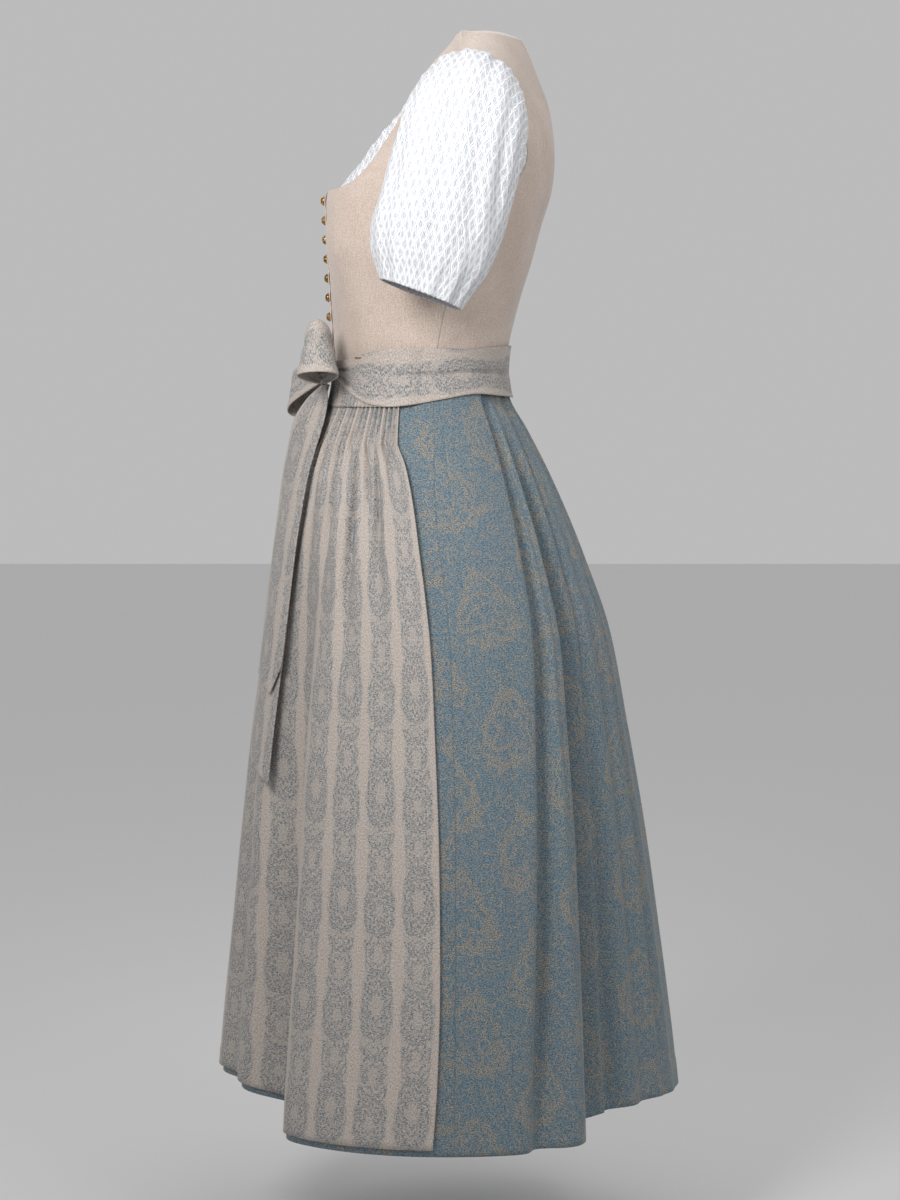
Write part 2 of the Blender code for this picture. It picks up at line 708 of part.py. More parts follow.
def sleeve_ring(level, turn):
    """A point of the left sleeve: level 0 is its armhole seam, and turn 0 the back, 90 the top."""
    rows = SLEEVE[level - 1] if level else None
    cos, sin = math.cos(math.radians(turn)), math.sin(math.radians(turn))
    if level == 0:
        middle = Vector((0.0, 0.001, -0.0925))
        samples = []
        for edge in (ARMHOLE_FRONT, ARMHOLE_BACK):
            for step in range(SEAM_SAMPLES + 1):
                point = torso(*armhole(edge, step / SEAM_SAMPLES))
                away = math.degrees(math.atan2((point.z - middle.z) * 0.70, point.y - middle.y)) % 360.0
                samples.append((away, point.x, point.y, point.z))
        samples.sort()
        table = np.array(samples)
        found = Vector([np.interp(turn % 360.0, table[:, 0], table[:, c], period=360.0) for c in (1, 2, 3)])
        inward = Vector((0.0, middle.y - found.y, middle.z - found.z)).normalized()
        return found + inward * (GAP + 0.0005) + Vector((0.0006, 0.0, 0.0))
    top_x, top_z, under_x, under_z, front_y, back_y, tilt = rows
    middle = Vector(((top_x + under_x) / 2, (front_y + back_y) / 2, (top_z + under_z) / 2))
    up = Vector((top_x - under_x, 0.0, top_z - under_z)) / 2
    point = middle + up * sin + Vector((0.0, (back_y - front_y) / 2, 0.0)) * cos
    point.z -= tilt * cos
    fullness = SLEEVE_FOLD_DEPTH * (0.35 + 0.65 * abs(math.cos(math.pi * (level - 1) / 9.0)))
    upper = smooth_step(-0.5, 0.3, sin)
    ripple = math.cos(math.radians(turn) * 2 * SLEEVE_FOLDS + 0.5 * math.sin(3.0 * math.radians(turn)))
    outward_way = (point - middle).normalized()
    return point + outward_way * fullness * upper * (ripple - 1.0) * 0.5


def build_sleeve(name, side, material, collection):
    rows = len(SLEEVE)

    def place(column, row):
        turn = 360.0 * (column % SLEEVE_AROUND) / SLEEVE_AROUND
        point = sleeve_ring(row, turn if side > 0 else -turn + 180.0)
        return point if side > 0 else mirrored(point)

    return sheet(name, SLEEVE_AROUND, rows, place, LACE, material, collection, closed=True)


def build_skirt_piece(name, start_seam, end_seam, columns, material, collection):
    """A skirt width between two seams, each given by its angle at a height."""
    gap = math.degrees(SEAM / 0.12)

    def place(column, row, out):
        share = column / columns
        low_angle = start_seam(SKIRT_HEM) + (end_seam(SKIRT_HEM) - start_seam(SKIRT_HEM)) * share
        z = row_height(SKIRT_LEVELS, row, low_angle, SKIRT_HEM)
        first, last = start_seam(z) + gap, end_seam(z) - gap
        return skirt(first + (last - first) * share, z, out)

    return fitted_sheet(name, columns, len(SKIRT_LEVELS), place, SKIRT_CLOTH, material, collection)


def left_seam(z):
    return read_table(SIDE_SEAM, z)[0]


def right_seam(z):
    return -180.0 - left_seam(z)


def build_skirt(material, collection):
    """Four widths. The centre front seam holds the skirt's opening, under the apron."""
    for name, start_seam, end_seam in (
        ("skirt_front_left", lambda z: -90.0, left_seam),
        ("skirt_front_right", right_seam, lambda z: -90.0),
        ("skirt_back_left", left_seam, lambda z: 90.0),
        ("skirt_back_right", lambda z: 90.0, lambda z: 360.0 + right_seam(z)),
    ):
        build_skirt_piece(name, start_seam, end_seam, SKIRT_COLUMNS, material, collection)


def build_apron(material, collection):
    columns = 2 * HEADER_PLEATS

    def place(column, row):
        share = column / columns
        left, right = apron_edges(APRON_HEM)
        z = row_height(APRON_LEVELS, row, right + (left - right) * share, APRON_HEM)
        left, right = apron_edges(z)
        return apron(right + (left - right) * share, z)

    sheet("apron_panel", columns, len(APRON_LEVELS), place, APRON_CLOTH, material, collection)

    def place_band(column, row, out):
        left, right = apron_edges(WAISTBAND_TOP)
        angle = right + (left - right) * column / BAND_COLUMNS
        return waist_form(angle, WAISTBAND_LEVELS[row], out + WAISTBAND_OUT)

    fitted_sheet("apron_waistband", BAND_COLUMNS, 3, place_band, WAISTBAND_CLOTH, material, collection)


def sash_out(angle):
    """How far the tie's outer face stands off the waist's form: further over the apron's top."""
    over_apron = smooth_step(1.0, -9.0, angle) if angle > -90.0 else smooth_step(-181.0, -171.0, angle)
    return SASH_OUT_BACK + (SASH_OUT_FRONT - SASH_OUT_BACK) * over_apron


def build_sash(name, first, last, material, collection):
    columns, rows = 26, 3

    def place(column, row, out):
        angle = first + (last - first) * column / columns
        left_angle = angle if angle > -90.0 else -180.0 - angle
        top_z, low_z = read_table(SASH, left_angle)
        z = low_z + (top_z - low_z) * row / rows
        return waist_form(angle, z, out + sash_out(angle))

    return fitted_sheet(name, columns, rows, place, TIE_CLOTH, material, collection)


def build_knot(material, collection):
    builder = bmesh.new()
    bmesh.ops.create_uvsphere(builder, u_segments=14, v_segments=8, radius=1.0)
    for vert in builder.verts:
        direction = vert.co.copy()
        pinch = 1.0 - 0.10 * math.cos(3.0 * math.atan2(direction.x, -direction.y)) * (1.0 - direction.z ** 2)
        vert.co = Vector((direction.x * KNOT_SIZE.x * pinch, direction.y * KNOT_SIZE.y * pinch,
                          direction.z * KNOT_SIZE.z)) + KNOT
    return new_object("bow_knot", builder, material, collection)


def build_loop(name, material, collection):
    """A loop of the bow: the tie's band out from the knot, round and back, open above and below."""
    side, out, forward, up, length, thickness, end_width, knot_gap, start_z = LOOPS[name]
    reach = Vector((out, forward, up)).normalized()
    across = Vector((0.0, -1.0, 0.0))
    across = (across - reach * across.dot(reach)).normalized()
    width_way = reach.cross(across) * (1.0 if side > 0 else -1.0)
    if width_way.z < 0:
        width_way = -width_way
    start = KNOT + Vector((side * (KNOT_SIZE.x + knot_gap), 0.0, start_z))
    columns, rows = 20, 3

    def place(column, row):
        turn = math.tau * (0.03 + 0.94 * column / columns)
        far = (1.0 - math.cos(turn)) / 2
        along = length * far
        bulge = thickness * 0.62 * math.sin(turn) * (0.35 + 0.65 * far)
        width = LOOP_KNOT_WIDTH + (end_width - LOOP_KNOT_WIDTH) * far ** 0.8
        rise = row / rows - 0.5
        bulge *= 1.0 - LOOP_FLARE * rise * far
        return start + reach * along + across * bulge + width_way * width * rise

    return sheet(name, columns, rows, place, TIE_CLOTH, material, collection)


def build_tail(name, material, collection):
    """A hanging end of the tie, with its cut end."""
    rows_of, end = TAILS[name], TAIL_ENDS[name]
    rows = 12
    top, low = rows_of[0][0], rows_of[-1][0]

    def place(column, row):
        across = column / TAIL_COLUMN_COUNT * 2.0 - 1.0
        share = 1.0 - (1.0 - row / rows) ** TAIL_ROW_SPREAD
        z = low + end[column] + (top - low - end[column]) * share
        angle, half_width, stand_off, lean = read_table(rows_of, z)
        centre = Vector((0.0, sum(read_table(SKIRT, z)[1:]) / 2, z))
        radius = (skirt_base(angle, z) - centre).length
        base = skirt_base(angle + math.degrees(half_width * across / (radius + stand_off)), z)
        ripple = TAIL_RIPPLE * (math.sin(2.2 * across + 1.0) + 1.0)
        return base + (base - centre).normalized() * float(stand_off - lean * across + ripple)

    return sheet(name, TAIL_COLUMN_COUNT, rows, place, TIE_CLOTH, material, collection)


def build_pin(material, collection):
    """The small pin on the tie's upper edge."""
    seat = waist_form(PIN_ANGLE, PIN_Z, sash_out(PIN_ANGLE) + GAP + PIN_RADIUS)
    ahead = waist_form(PIN_ANGLE + 4.0, PIN_Z, sash_out(PIN_ANGLE) + GAP + PIN_RADIUS)
    way = (ahead - seat).normalized()
    builder = bmesh.new()
    bmesh.ops.create_cone(builder, cap_ends=True, segments=8, radius1=PIN_RADIUS, radius2=PIN_RADIUS * 0.7,
                          depth=PIN_LENGTH)
    turn = way.to_track_quat("Z", "Y").to_matrix().to_4x4()
    bmesh.ops.transform(builder, matrix=Matrix.Translation(seat) @ turn, verts=builder.verts)
    return new_object("apron_pin", builder, material, collection)


def main():
    for old in list(bpy.data.objects):
        bpy.data.objects.remove(old, do_unlink=True)
    dirndl = bpy.data.collections.new("dirndl")
    bpy.context.scene.collection.children.link(dirndl)
    wool, blue, apron_cloth, lace, bronze = (make_material(name) for name in COLOURS)
    build_bodice_front("bodice_front_left", 1, wool, dirndl)
    build_bodice_front("bodice_front_right", -1, wool, dirndl)
    build_bodice_back(wool, dirndl)
    build_button_band(wool, dirndl)
    build_buttons(bronze, dirndl)
    build_blouse_front("blouse_front_left", 1, lace, dirndl)
    build_blouse_front("blouse_front_right", -1, lace, dirndl)
    build_sleeve("blouse_sleeve_left", 1, lace, dirndl)
    build_sleeve("blouse_sleeve_right", -1, lace, dirndl)
    build_skirt(blue, dirndl)
    build_apron(apron_cloth, dirndl)
    build_sash("sash_left", SASH_CENTRE + 0.3, 89.9, apron_cloth, dirndl)
    build_sash("sash_right", -269.9, SASH_CENTRE - 0.3, apron_cloth, dirndl)
    build_knot(apron_cloth, dirndl)
    for name in LOOPS:
        build_loop(name, apron_cloth, dirndl)
    for name in TAILS:
        build_tail(name, apron_cloth, dirndl)
    build_pin(bronze, dirndl)


main()
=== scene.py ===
"""Dirndl in its worn form: wool bodice, lace blouse, jacquard skirt, gauged apron and its bow.

Metres, +Z up, the front towards -Y and the wearer's left towards +X. The cloth pieces are thin
shells on the same forms as the solids: the torso's level sections for the bodice and blouse,
the skirt's sections with their folds for the skirt and apron. Their UV maps are in metres.
"""

import logging
import math
from collections.abc import Callable
from dataclasses import dataclass
from enum import Enum

import bmesh
import bpy
import numpy as np
from mathutils import Matrix, Vector


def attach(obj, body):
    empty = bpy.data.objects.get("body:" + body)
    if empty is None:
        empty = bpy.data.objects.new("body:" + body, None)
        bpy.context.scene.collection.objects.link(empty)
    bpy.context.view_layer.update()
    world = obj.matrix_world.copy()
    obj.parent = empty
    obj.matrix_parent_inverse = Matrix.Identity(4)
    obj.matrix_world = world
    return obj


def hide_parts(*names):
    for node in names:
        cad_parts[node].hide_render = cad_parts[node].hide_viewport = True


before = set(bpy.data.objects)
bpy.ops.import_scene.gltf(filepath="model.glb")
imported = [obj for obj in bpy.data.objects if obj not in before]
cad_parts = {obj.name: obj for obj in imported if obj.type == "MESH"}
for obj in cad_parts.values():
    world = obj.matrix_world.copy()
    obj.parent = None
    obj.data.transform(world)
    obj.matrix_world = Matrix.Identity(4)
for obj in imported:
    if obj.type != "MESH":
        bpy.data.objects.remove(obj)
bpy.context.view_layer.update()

LOG = logging.getLogger("dirndl")
Array = np.ndarray
Place = Callable[[Array, Array], Array]


class Side(Enum):
    """The wearer's left or right."""

    LEFT = 1
    RIGHT = -1

    @property
    def word(self) -> str:
        """left or right, as in the nodes' names."""
        return self.name.lower()


WOOL = 0.0018
SKIRT_CLOTH = 0.0013
APRON_CLOTH = 0.0010
TIE_CLOTH = 0.0014
BAND_CLOTH = 0.0012
WAISTBAND_CLOTH = 0.0010
LACE = 0.0010
SEAM = 0.00016
GAP = 0.0003
BLOUSE_EASE = 0.0012
SLACK = 0.0004
BAND_OUT = GAP + BAND_CLOTH + 0.0003
BODY_RADIUS, SKIRT_RADIUS = 0.15, 0.24

SHOULDER_RIDGE = 0.051
RIDGE_REACH = 0.0001
SHOULDER_SLOPE = 0.466
WAIST = -0.365
SKIRT_HEM = -1.194
APRON_HEM = -1.186
APRON_TOP = -0.350

# Columns: height, half_width, widest_y, front_y, back_y, back_square
TORSO = (
    (-0.410, 0.1220, -0.0530, -0.1500, 0.0430, 2.0),
    (-0.365, 0.1215, -0.0535, -0.1490, 0.0406, 2.0),
    (-0.330, 0.1230, -0.0500, -0.1530, 0.0440, 2.1),
    (-0.280, 0.1300, -0.0400, -0.1560, 0.0565, 2.2),
    (-0.240, 0.1400, -0.0260, -0.1575, 0.0689, 2.3),
    (-0.198, 0.1490, -0.0120, -0.1595, 0.0802, 2.4),
    (-0.160, 0.1530, -0.0040, -0.1590, 0.0915, 2.4),
    (-0.115, 0.1590, 0.0000, -0.1338, 0.0944, 2.4),
    (-0.069, 0.1650, 0.0000, -0.1058, 0.0885, 2.4),
    (-0.033, 0.1690, 0.0000, -0.0850, 0.0757, 2.4),
    (-0.001, 0.1710, 0.0000, -0.0640, 0.0622, 2.4),
    (0.0235, 0.1700, -0.0010, -0.0400, 0.0470, 2.3),
    (0.0365, 0.1690, -0.0030, -0.0255, 0.0355, 2.2),
    (0.0448, 0.1670, -0.0050, -0.0185, 0.0240, 2.1),
    (0.0493, 0.1660, -0.0080, -0.0130, 0.0100, 2.0),
    (0.051, 0.1650, -0.0094, -0.0094, -0.0094, 2.0),
)
BUST_X, BUST_HEIGHT, BUST_RISE = 0.078, -0.218, 0.015
BUST_WIDTH, BUST_DROP = 0.044, 0.050

# Columns: x, z
NECKLINE = (
    (0.000, -0.1605), (0.040, -0.1612), (0.070, -0.1605), (0.089, -0.1555), (0.0975, -0.1470),
    (0.1015, -0.1290), (0.0990, -0.0980), (0.0930, -0.0650), (0.0895, -0.0350),
    (0.0895, -0.0110), (0.0900, SHOULDER_RIDGE - SHOULDER_SLOPE * 0.0900),
)
NECK_CORNER = 4
BACK_NECK = (
    (0.0900, SHOULDER_RIDGE - SHOULDER_SLOPE * 0.0900), (0.0760, 0.0100), (0.0560, 0.0100),
    (0.0280, 0.0095), (0.0, 0.0090),
)
STRAP_OUTER_X = 0.155
STRAP_OUTER_Z = SHOULDER_RIDGE - SHOULDER_SLOPE * STRAP_OUTER_X
# Columns: angle, z
ARMHOLE_FRONT = (
    (5.0, -0.1680), (-9.0, -0.1665), (-19.0, -0.1590), (-26.0, -0.1460), (-30.0, -0.1280),
    (-32.0, -0.1020), (-32.0, -0.0720), (-29.0, -0.0420), (-20.0, STRAP_OUTER_Z),
)
ARMHOLE_BACK = (
    (5.0, -0.1680), (17.0, -0.1665), (26.0, -0.1580), (32.0, -0.1420), (34.0, -0.1200),
    (34.0, -0.0900), (32.0, -0.0620), (28.0, -0.0380), (20.0, STRAP_OUTER_Z),
)
BODICE_SIDE_ANGLE = 9.0
ARM_CORNER = 3.0 / 8.0

# Columns: z, half_width, front_y, back_y
SKIRT = (
    (-1.190, 0.2700, -0.2835, 0.2410), (-1.104, 0.2650, -0.2770, 0.2315),
    (-0.992, 0.2560, -0.2655, 0.2165), (-0.868, 0.2450, -0.2530, 0.1985),
    (-0.7515, 0.2300, -0.2400, 0.1780), (-0.6475, 0.2150, -0.2235, 0.1575),
    (-0.564, 0.1990, -0.2080, 0.1280), (-0.521, 0.1870, -0.1985, 0.1107),
    (-0.471, 0.1700, -0.1860, 0.0881), (-0.425, 0.1480, -0.1680, 0.0644),
    (-0.395, 0.1300, -0.1545, 0.0470), (-0.365, 0.1215, -0.1490, 0.0406),
)
APRON_STAND_OFF = 0.0052
# Columns: waist_angle, hem_angle, waist_depth, hem_depth, front_width, back_width, start
FOLDS = (
    (-151.0, -153.0, 0.001, 0.018, 7.0, 7.0, 0.25),
    (-122.0, -128.0, 0.001, 0.048, 13.0, 9.0, 0.15),
    (-100.0, -101.0, 0.000, 0.020, 8.0, 8.0, 0.25),
    (-72.0, -77.0, 0.000, 0.016, 6.0, 7.0, 0.30), (-46.0, -54.0, 0.001, 0.056, 15.0, 8.0, 0.12),
    (46.0, 22.0, 0.004, 0.015, 3.5, 8.0, 0.0), (56.0, 45.0, 0.004, 0.064, 9.0, 21.0, 0.0),
    (70.0, 66.0, 0.004, 0.012, 4.0, 7.0, 0.0), (82.0, 80.0, 0.004, 0.003, 3.5, 6.0, 0.0),
    (95.0, 101.0, 0.004, 0.024, 9.0, 8.0, 0.0), (107.0, 119.0, 0.004, 0.014, 7.0, 5.0, 0.0),
    (121.0, 133.0, 0.004, 0.052, 19.0, 9.0, 0.0), (135.0, 159.0, 0.004, 0.014, 8.0, 4.0, 0.0),
)
# Columns: angle, rise
HEM_RISE = (
    (-180.0, 0.002), (-130.0, 0.020), (-90.0, 0.040), (-60.0, 0.026), (-52.0, 0.008),
    (-45.0, 0.001), (0.0, 0.0), (38.0, 0.003), (60.0, 0.020), (90.0, 0.025), (120.0, 0.018),
    (180.0, 0.002),
)
# Columns: z, angle
SIDE_SEAM = (
    (-1.190, 0.7), (-1.0, 1.8), (-0.75, 3.3), (-0.60, 2.8), (-0.51, 2.8), (-0.44, 5.5),
    (-0.365, 9.0),
)
APRON_EDGE = (
    (-1.185, -4.2), (-1.12, -3.0), (-1.0, -2.0), (-0.76, -2.0), (-0.60, -4.0), (-0.55, -5.0),
    (-0.50, -6.3), (-0.47, -8.0), (-0.455, -10.0), (-0.44, -13.0), (-0.34, -13.0),
)
HEADER_PLEATS = 50
HEADER_DEPTH = 0.0012
HEADER_LOW = -0.432
RELEASE_END = -0.500
GATHER_WAVES = 15
GATHER_DEPTH = 0.0042
GATHER_PEAK, GATHER_END = -0.475, -0.760
# Columns: angle, top_z, low_z
SASH = (
    (-90.0, -0.3530, -0.3700), (-68.0, -0.3540, -0.3700), (-55.0, -0.3500, -0.3800),
    (-44.0, -0.3460, -0.3900), (-34.0, -0.3420, -0.3970), (-22.0, -0.3385, -0.4005),
    (-8.0, -0.3370, -0.3990), (12.0, -0.3376, -0.3930), (35.0, -0.3380, -0.3870),
    (60.0, -0.3350, -0.3890), (90.0, -0.3330, -0.3910),
)
SASH_CENTRE = -75.0
WAISTBAND_TOP, WAISTBAND_LOW = -0.3520, -0.4010
HEADER_OUT = 0.0031
WAISTBAND_OUT = HEADER_OUT + HEADER_DEPTH + GAP + WAISTBAND_CLOTH + SLACK
SASH_OUT_FRONT = WAISTBAND_OUT + GAP + TIE_CLOTH + SLACK
SASH_OUT_BACK = 0.0032

# Columns: top_x, top_z, under_x, under_z, front_y, back_y, tilt
SLEEVE = (
    (0.169, -0.0180, 0.161, -0.1690, -0.0620, 0.0580, 0.0),
    (0.198, -0.0230, 0.165, -0.1770, -0.0690, 0.0610, 0.0),
    (0.232, -0.0480, 0.167, -0.1880, -0.0790, 0.0590, 0.0),
    (0.255, -0.0930, 0.168, -0.2010, -0.0880, 0.0525, 0.002),
    (0.267, -0.1460, 0.167, -0.2170, -0.0965, 0.0435, 0.004),
    (0.271, -0.1980, 0.165, -0.2380, -0.1065, 0.0320, 0.008),
    (0.266, -0.2420, 0.166, -0.2600, -0.1060, 0.0150, 0.013),
    (0.258, -0.2800, 0.171, -0.2840, -0.0975, -0.0100, 0.0165),
)
RING_SQUASH = 0.70
SLEEVE_FOLDS = 7
SLEEVE_FOLD_DEPTH = 0.0035
# Columns: neck_x, neck_z, under_x, under_z, neck_in
BLOUSE = (
    (0.0006, -0.1575, 0.0006, -0.1800, 0.0030), (0.0200, -0.1545, 0.0250, -0.1810, 0.0070),
    (0.0430, -0.1430, 0.0550, -0.1810, 0.0085), (0.0640, -0.1190, 0.0880, -0.1780, 0.0040),
    (0.0720, -0.0985, 0.1150, -0.1600, 0.0010), (0.0800, -0.0870, 0.1200, -0.1330, 0.0),
    (0.0845, -0.0730, 0.1180, -0.1030, 0.0), (0.0860, -0.0550, 0.1120, -0.0720, 0.0),
    (0.0865, -0.0350, 0.1050, -0.0450, 0.0), (0.0870, -0.0150, 0.1030, -0.0250, 0.0),
)
BAND_HALF_WIDTH = 0.011
BAND_LOW = -0.3485
BUTTONS = 8
BUTTON_TOP_Z = -0.1712
BUTTON_PITCH = 0.02155
BUTTON_RADIUS = 0.0053
BUTTON_RISE = 0.0046

KNOT = np.array((0.034, -0.1640, -0.3610))
KNOT_SIZE = np.array((0.0130, 0.0085, 0.0165))
KNOT_CLEARANCE = {Side.LEFT: 0.0042, Side.RIGHT: 0.0028}
LOOP_KNOT_WIDTH = 0.022
LOOP_FLARE = 0.7
# Columns: z, angle, half_width, stand_off, lean
TAIL_UPPER = (
    (-0.3772, -73.0, 0.011, 0.0168, 0.0000), (-0.3900, -72.5, 0.018, 0.0225, 0.0060),
    (-0.4050, -72.0, 0.024, 0.0248, 0.0095), (-0.4200, -71.0, 0.027, 0.0240, 0.0100),
    (-0.4600, -69.0, 0.030, 0.0210, 0.0060), (-0.5300, -67.0, 0.032, 0.0182, 0.0020),
    (-0.6100, -65.5, 0.033, 0.0155, 0.0005), (-0.6800, -65.0, 0.033, 0.0135, 0.0),
    (-0.7150, -65.0, 0.033, 0.0130, 0.0),
)
TAIL_LOWER = (
    (-0.3764, -74.5, 0.009, 0.0122, 0.0), (-0.4000, -78.0, 0.018, 0.0160, 0.0),
    (-0.4300, -78.0, 0.024, 0.0170, 0.0), (-0.4700, -75.0, 0.028, 0.0155, 0.0),
    (-0.5300, -71.0, 0.031, 0.0135, 0.0), (-0.6100, -68.0, 0.033, 0.0105, 0.0),
    (-0.7000, -67.0, 0.034, 0.0088, 0.0), (-0.8140, -67.0, 0.034, 0.0082, 0.0),
)
TAIL_RIPPLE = 0.0008
HEM_DOUBLE = 0.0008
HEM_STEP = 0.006
APRON_DEEPEST = 0.0048
APRON_TURN_Z, SKIRT_TURN_Z = -1.125, -1.138

# Columns: angle, height, half_angle, half_height, depth
BODICE_CREASES = (
    (-62.0, -0.262, 5.0, 0.030, 0.0016), (-76.0, -0.300, 4.0, 0.026, 0.0014),
    (-50.0, -0.318, 6.0, 0.016, 0.0012), (-40.0, -0.205, 4.0, 0.034, 0.0015),
    (52.0, -0.120, 5.0, 0.050, 0.0026), (61.0, -0.190, 5.0, 0.040, 0.0016),
    (38.0, -0.245, 6.0, 0.030, 0.0012), (20.0, -0.335, 8.0, 0.010, 0.0010),
    (70.0, -0.335, 9.0, 0.011, 0.0012),
)
# Columns: turn, level, lean, depth, half_turn, half_length
SLEEVE_CREASES = (
    (100.0, 0.30, 26.0, 0.0050, 7.0, 0.16), (62.0, 0.22, -18.0, 0.0030, 6.0, 0.12),
    (128.0, 0.24, 14.0, 0.0030, 6.0, 0.12), (80.0, 0.20, 6.0, 0.0028, 4.0, 0.10),
    (55.0, 0.74, 60.0, 0.0040, 8.0, 0.16), (88.0, 0.78, 70.0, 0.0034, 8.0, 0.13),
    (30.0, 0.66, 50.0, 0.0030, 8.0, 0.14), (118.0, 0.80, 55.0, 0.0030, 7.0, 0.11),
    (145.0, 0.60, 40.0, 0.0030, 9.0, 0.16),
)
# Columns: waist_angle, hem_angle, depth, front_width, back_width, start, end
SKIRT_CREASES = (
    (12.0, 5.0, 0.0010, 0.45, 0.45, -0.1, 0.9), (30.0, 15.0, 0.0014, 2.5, 3.0, 0.25, 1.0),
    (45.0, 20.5, 0.0120, 1.0, 6.5, -0.02, 1.1), (50.0, 33.0, 0.0034, 1.0, 1.8, -0.1, 0.9),
    (55.5, 41.0, 0.0260, 1.8, 5.0, 0.05, 1.3), (66.0, 55.0, 0.0080, 1.2, 3.4, -0.1, 1.3),
    (77.0, 73.0, 0.0070, 1.3, 3.4, -0.1, 1.1), (88.0, 90.0, 0.0030, 1.5, 1.5, -0.1, 0.7),
    (101.0, 110.0, 0.0040, 2.0, 1.0, -0.1, 0.9), (114.0, 126.0, 0.0034, 2.0, 1.2, -0.1, 0.9),
    (126.0, 140.0, 0.0060, 3.5, 1.0, 0.1, 1.3), (142.0, 152.0, 0.0026, 1.4, 1.4, -0.1, 0.7),
    (-47.0, -56.0, 0.0050, 2.5, 1.2, 0.1, 1.3), (-124.0, -130.0, 0.0050, 1.2, 2.5, 0.2, 1.3),
)
# Columns: top_share, low_share, top_z, low_z, depth, width
APRON_CREASES = (
    (0.948, 0.962, -0.428, -0.500, 0.0042, 0.0045),
    (0.922, 0.905, -0.428, -0.640, 0.0075, 0.0075),
    (0.893, 0.888, -0.428, -0.520, 0.0045, 0.0040),
    (0.862, 0.822, -0.428, -0.700, 0.0080, 0.0085),
    (0.828, 0.812, -0.428, -0.520, 0.0040, 0.0045),
    (0.792, 0.765, -0.430, -0.610, 0.0055, 0.0070),
    (0.742, 0.728, -0.430, -0.540, 0.0042, 0.0050),
    (0.690, 0.665, -0.430, -0.640, 0.0058, 0.0080),
    (0.628, 0.620, -0.430, -0.540, 0.0042, 0.0055),
    (0.560, 0.548, -0.430, -0.620, 0.0055, 0.0075),
    (0.497, 0.500, -0.430, -0.540, 0.0040, 0.0050),
    (0.430, 0.440, -0.430, -0.640, 0.0060, 0.0080),
    (0.362, 0.372, -0.430, -0.550, 0.0042, 0.0055),
    (0.300, 0.320, -0.430, -0.610, 0.0055, 0.0070),
    (0.236, 0.246, -0.430, -0.540, 0.0042, 0.0050),
    (0.170, 0.198, -0.428, -0.680, 0.0070, 0.0085),
    (0.116, 0.118, -0.428, -0.530, 0.0042, 0.0045),
    (0.076, 0.090, -0.428, -0.620, 0.0060, 0.0070),
    (0.040, 0.036, -0.428, -0.500, 0.0040, 0.0040),
    (0.905, 0.915, -0.930, -1.010, 0.0016, 0.0100),
)
# Columns: start_angle, end_angle, first_height, last_height, depth, width
TIE_CREASES = (
    (0.0, 34.0, 0.60, 0.66, 0.0036, 0.040), (52.0, 165.0, 0.52, 0.46, 0.0036, 0.030),
    (2.0, 40.0, 0.34, 0.12, 0.0018, 0.045), (20.0, 70.0, 0.40, 0.30, 0.0008, 0.060),
)
# Columns, in mm but for the rings' shares: middle, half_height, half_width, rings
MEDALLIONS = (
    (38.0, 33.0, 18.0, (1.0, 0.74, 0.46)), (92.0, 20.0, 13.0, (1.0, 0.6)),
    (136.0, 25.0, 19.5, (1.0, 0.72, 0.42)), (184.0, 21.0, 15.0, (1.0, 0.6)),
    (211.0, 10.0, 10.0, (1.0, 0.45)),
)
# Columns: share of the radius, share of the rise
BUTTON_PROFILE = (
    (0.0, 0.0), (0.62, 0.0), (0.92, 0.10), (1.0, 0.24), (0.985, 0.34), (0.93, 0.41),
    (0.87, 0.42), (0.84, 0.50), (0.74, 0.70), (0.58, 0.86), (0.42, 0.945), (0.3, 0.96),
    (0.24, 0.99), (0.12, 1.0), (0.0, 1.0),
)
# Columns: name, place, aim, size, power in watts
LAMPS = (
    ("key", (1.45, -0.7, 0.25), (0.0, 0.0, -0.05), 0.5, 8.0),
    ("fill", (1.6, 1.0, 0.2), (0.0, 0.0, -0.05), 0.9, 3.6),
    ("top", (0.4, 0.3, 1.4), (0.0, 0.0, -0.1), 0.9, 2.0),
)

CAMERA_PLACE = (3.6, -0.0226, -0.381)
CAMERA_PITCH = math.radians(3.8)
CAMERA_LENS = 95.58


def smooth_step(low: float, high: float, value: Array) -> Array:
    """0 below low, 1 above high, and a smooth rise between."""
    share = np.clip((np.asarray(value, float) - low) / (high - low), 0.0, 1.0)
    return share * share * (3.0 - 2.0 * share)


def read_table(rows: tuple, value: Array) -> list[Array]:
    """Reads the columns after the first on a smooth curve through the rows.

    Args:
        rows: the table, whose first column is the key.
        value: keys to read at.

    Returns:
        One array for each further column.
    """
    table = np.array(sorted(rows), dtype=float)
    keys = table[:, 0]
    value = np.clip(np.asarray(value, float), keys[0], keys[-1])
    last = len(keys) - 1
    low = np.clip(np.searchsorted(keys, value) - 1, 0, last - 1)
    before = np.maximum(np.arange(last + 1) - 1, 0)
    after = np.minimum(np.arange(last + 1) + 1, last)
    slopes = (table[after, 1:] - table[before, 1:]) / (keys[after] - keys[before])[:, None]
    span = keys[low + 1] - keys[low]
    share = (value - keys[low]) / span
    square, cube = share**2, share**3
    weights = (
        2 * cube - 3 * square + 1,
        3 * square - 2 * cube,
        span * (cube - 2 * square + share),
        span * (cube - square),
    )
    return [
        table[low, c] * weights[0]
        + table[low + 1, c] * weights[1]
        + slopes[low, c - 1] * weights[2]
        + slopes[low + 1, c - 1] * weights[3]
        for c in range(1, table.shape[1])
    ]


def read_path(rows: tuple, share: Array) -> list[Array]:
    """Points along a list of rows, at these shares of its steps."""
    keyed = tuple((index, *row) for index, row in enumerate(rows))
    return read_table(keyed, np.asarray(share, float) * (len(rows) - 1))


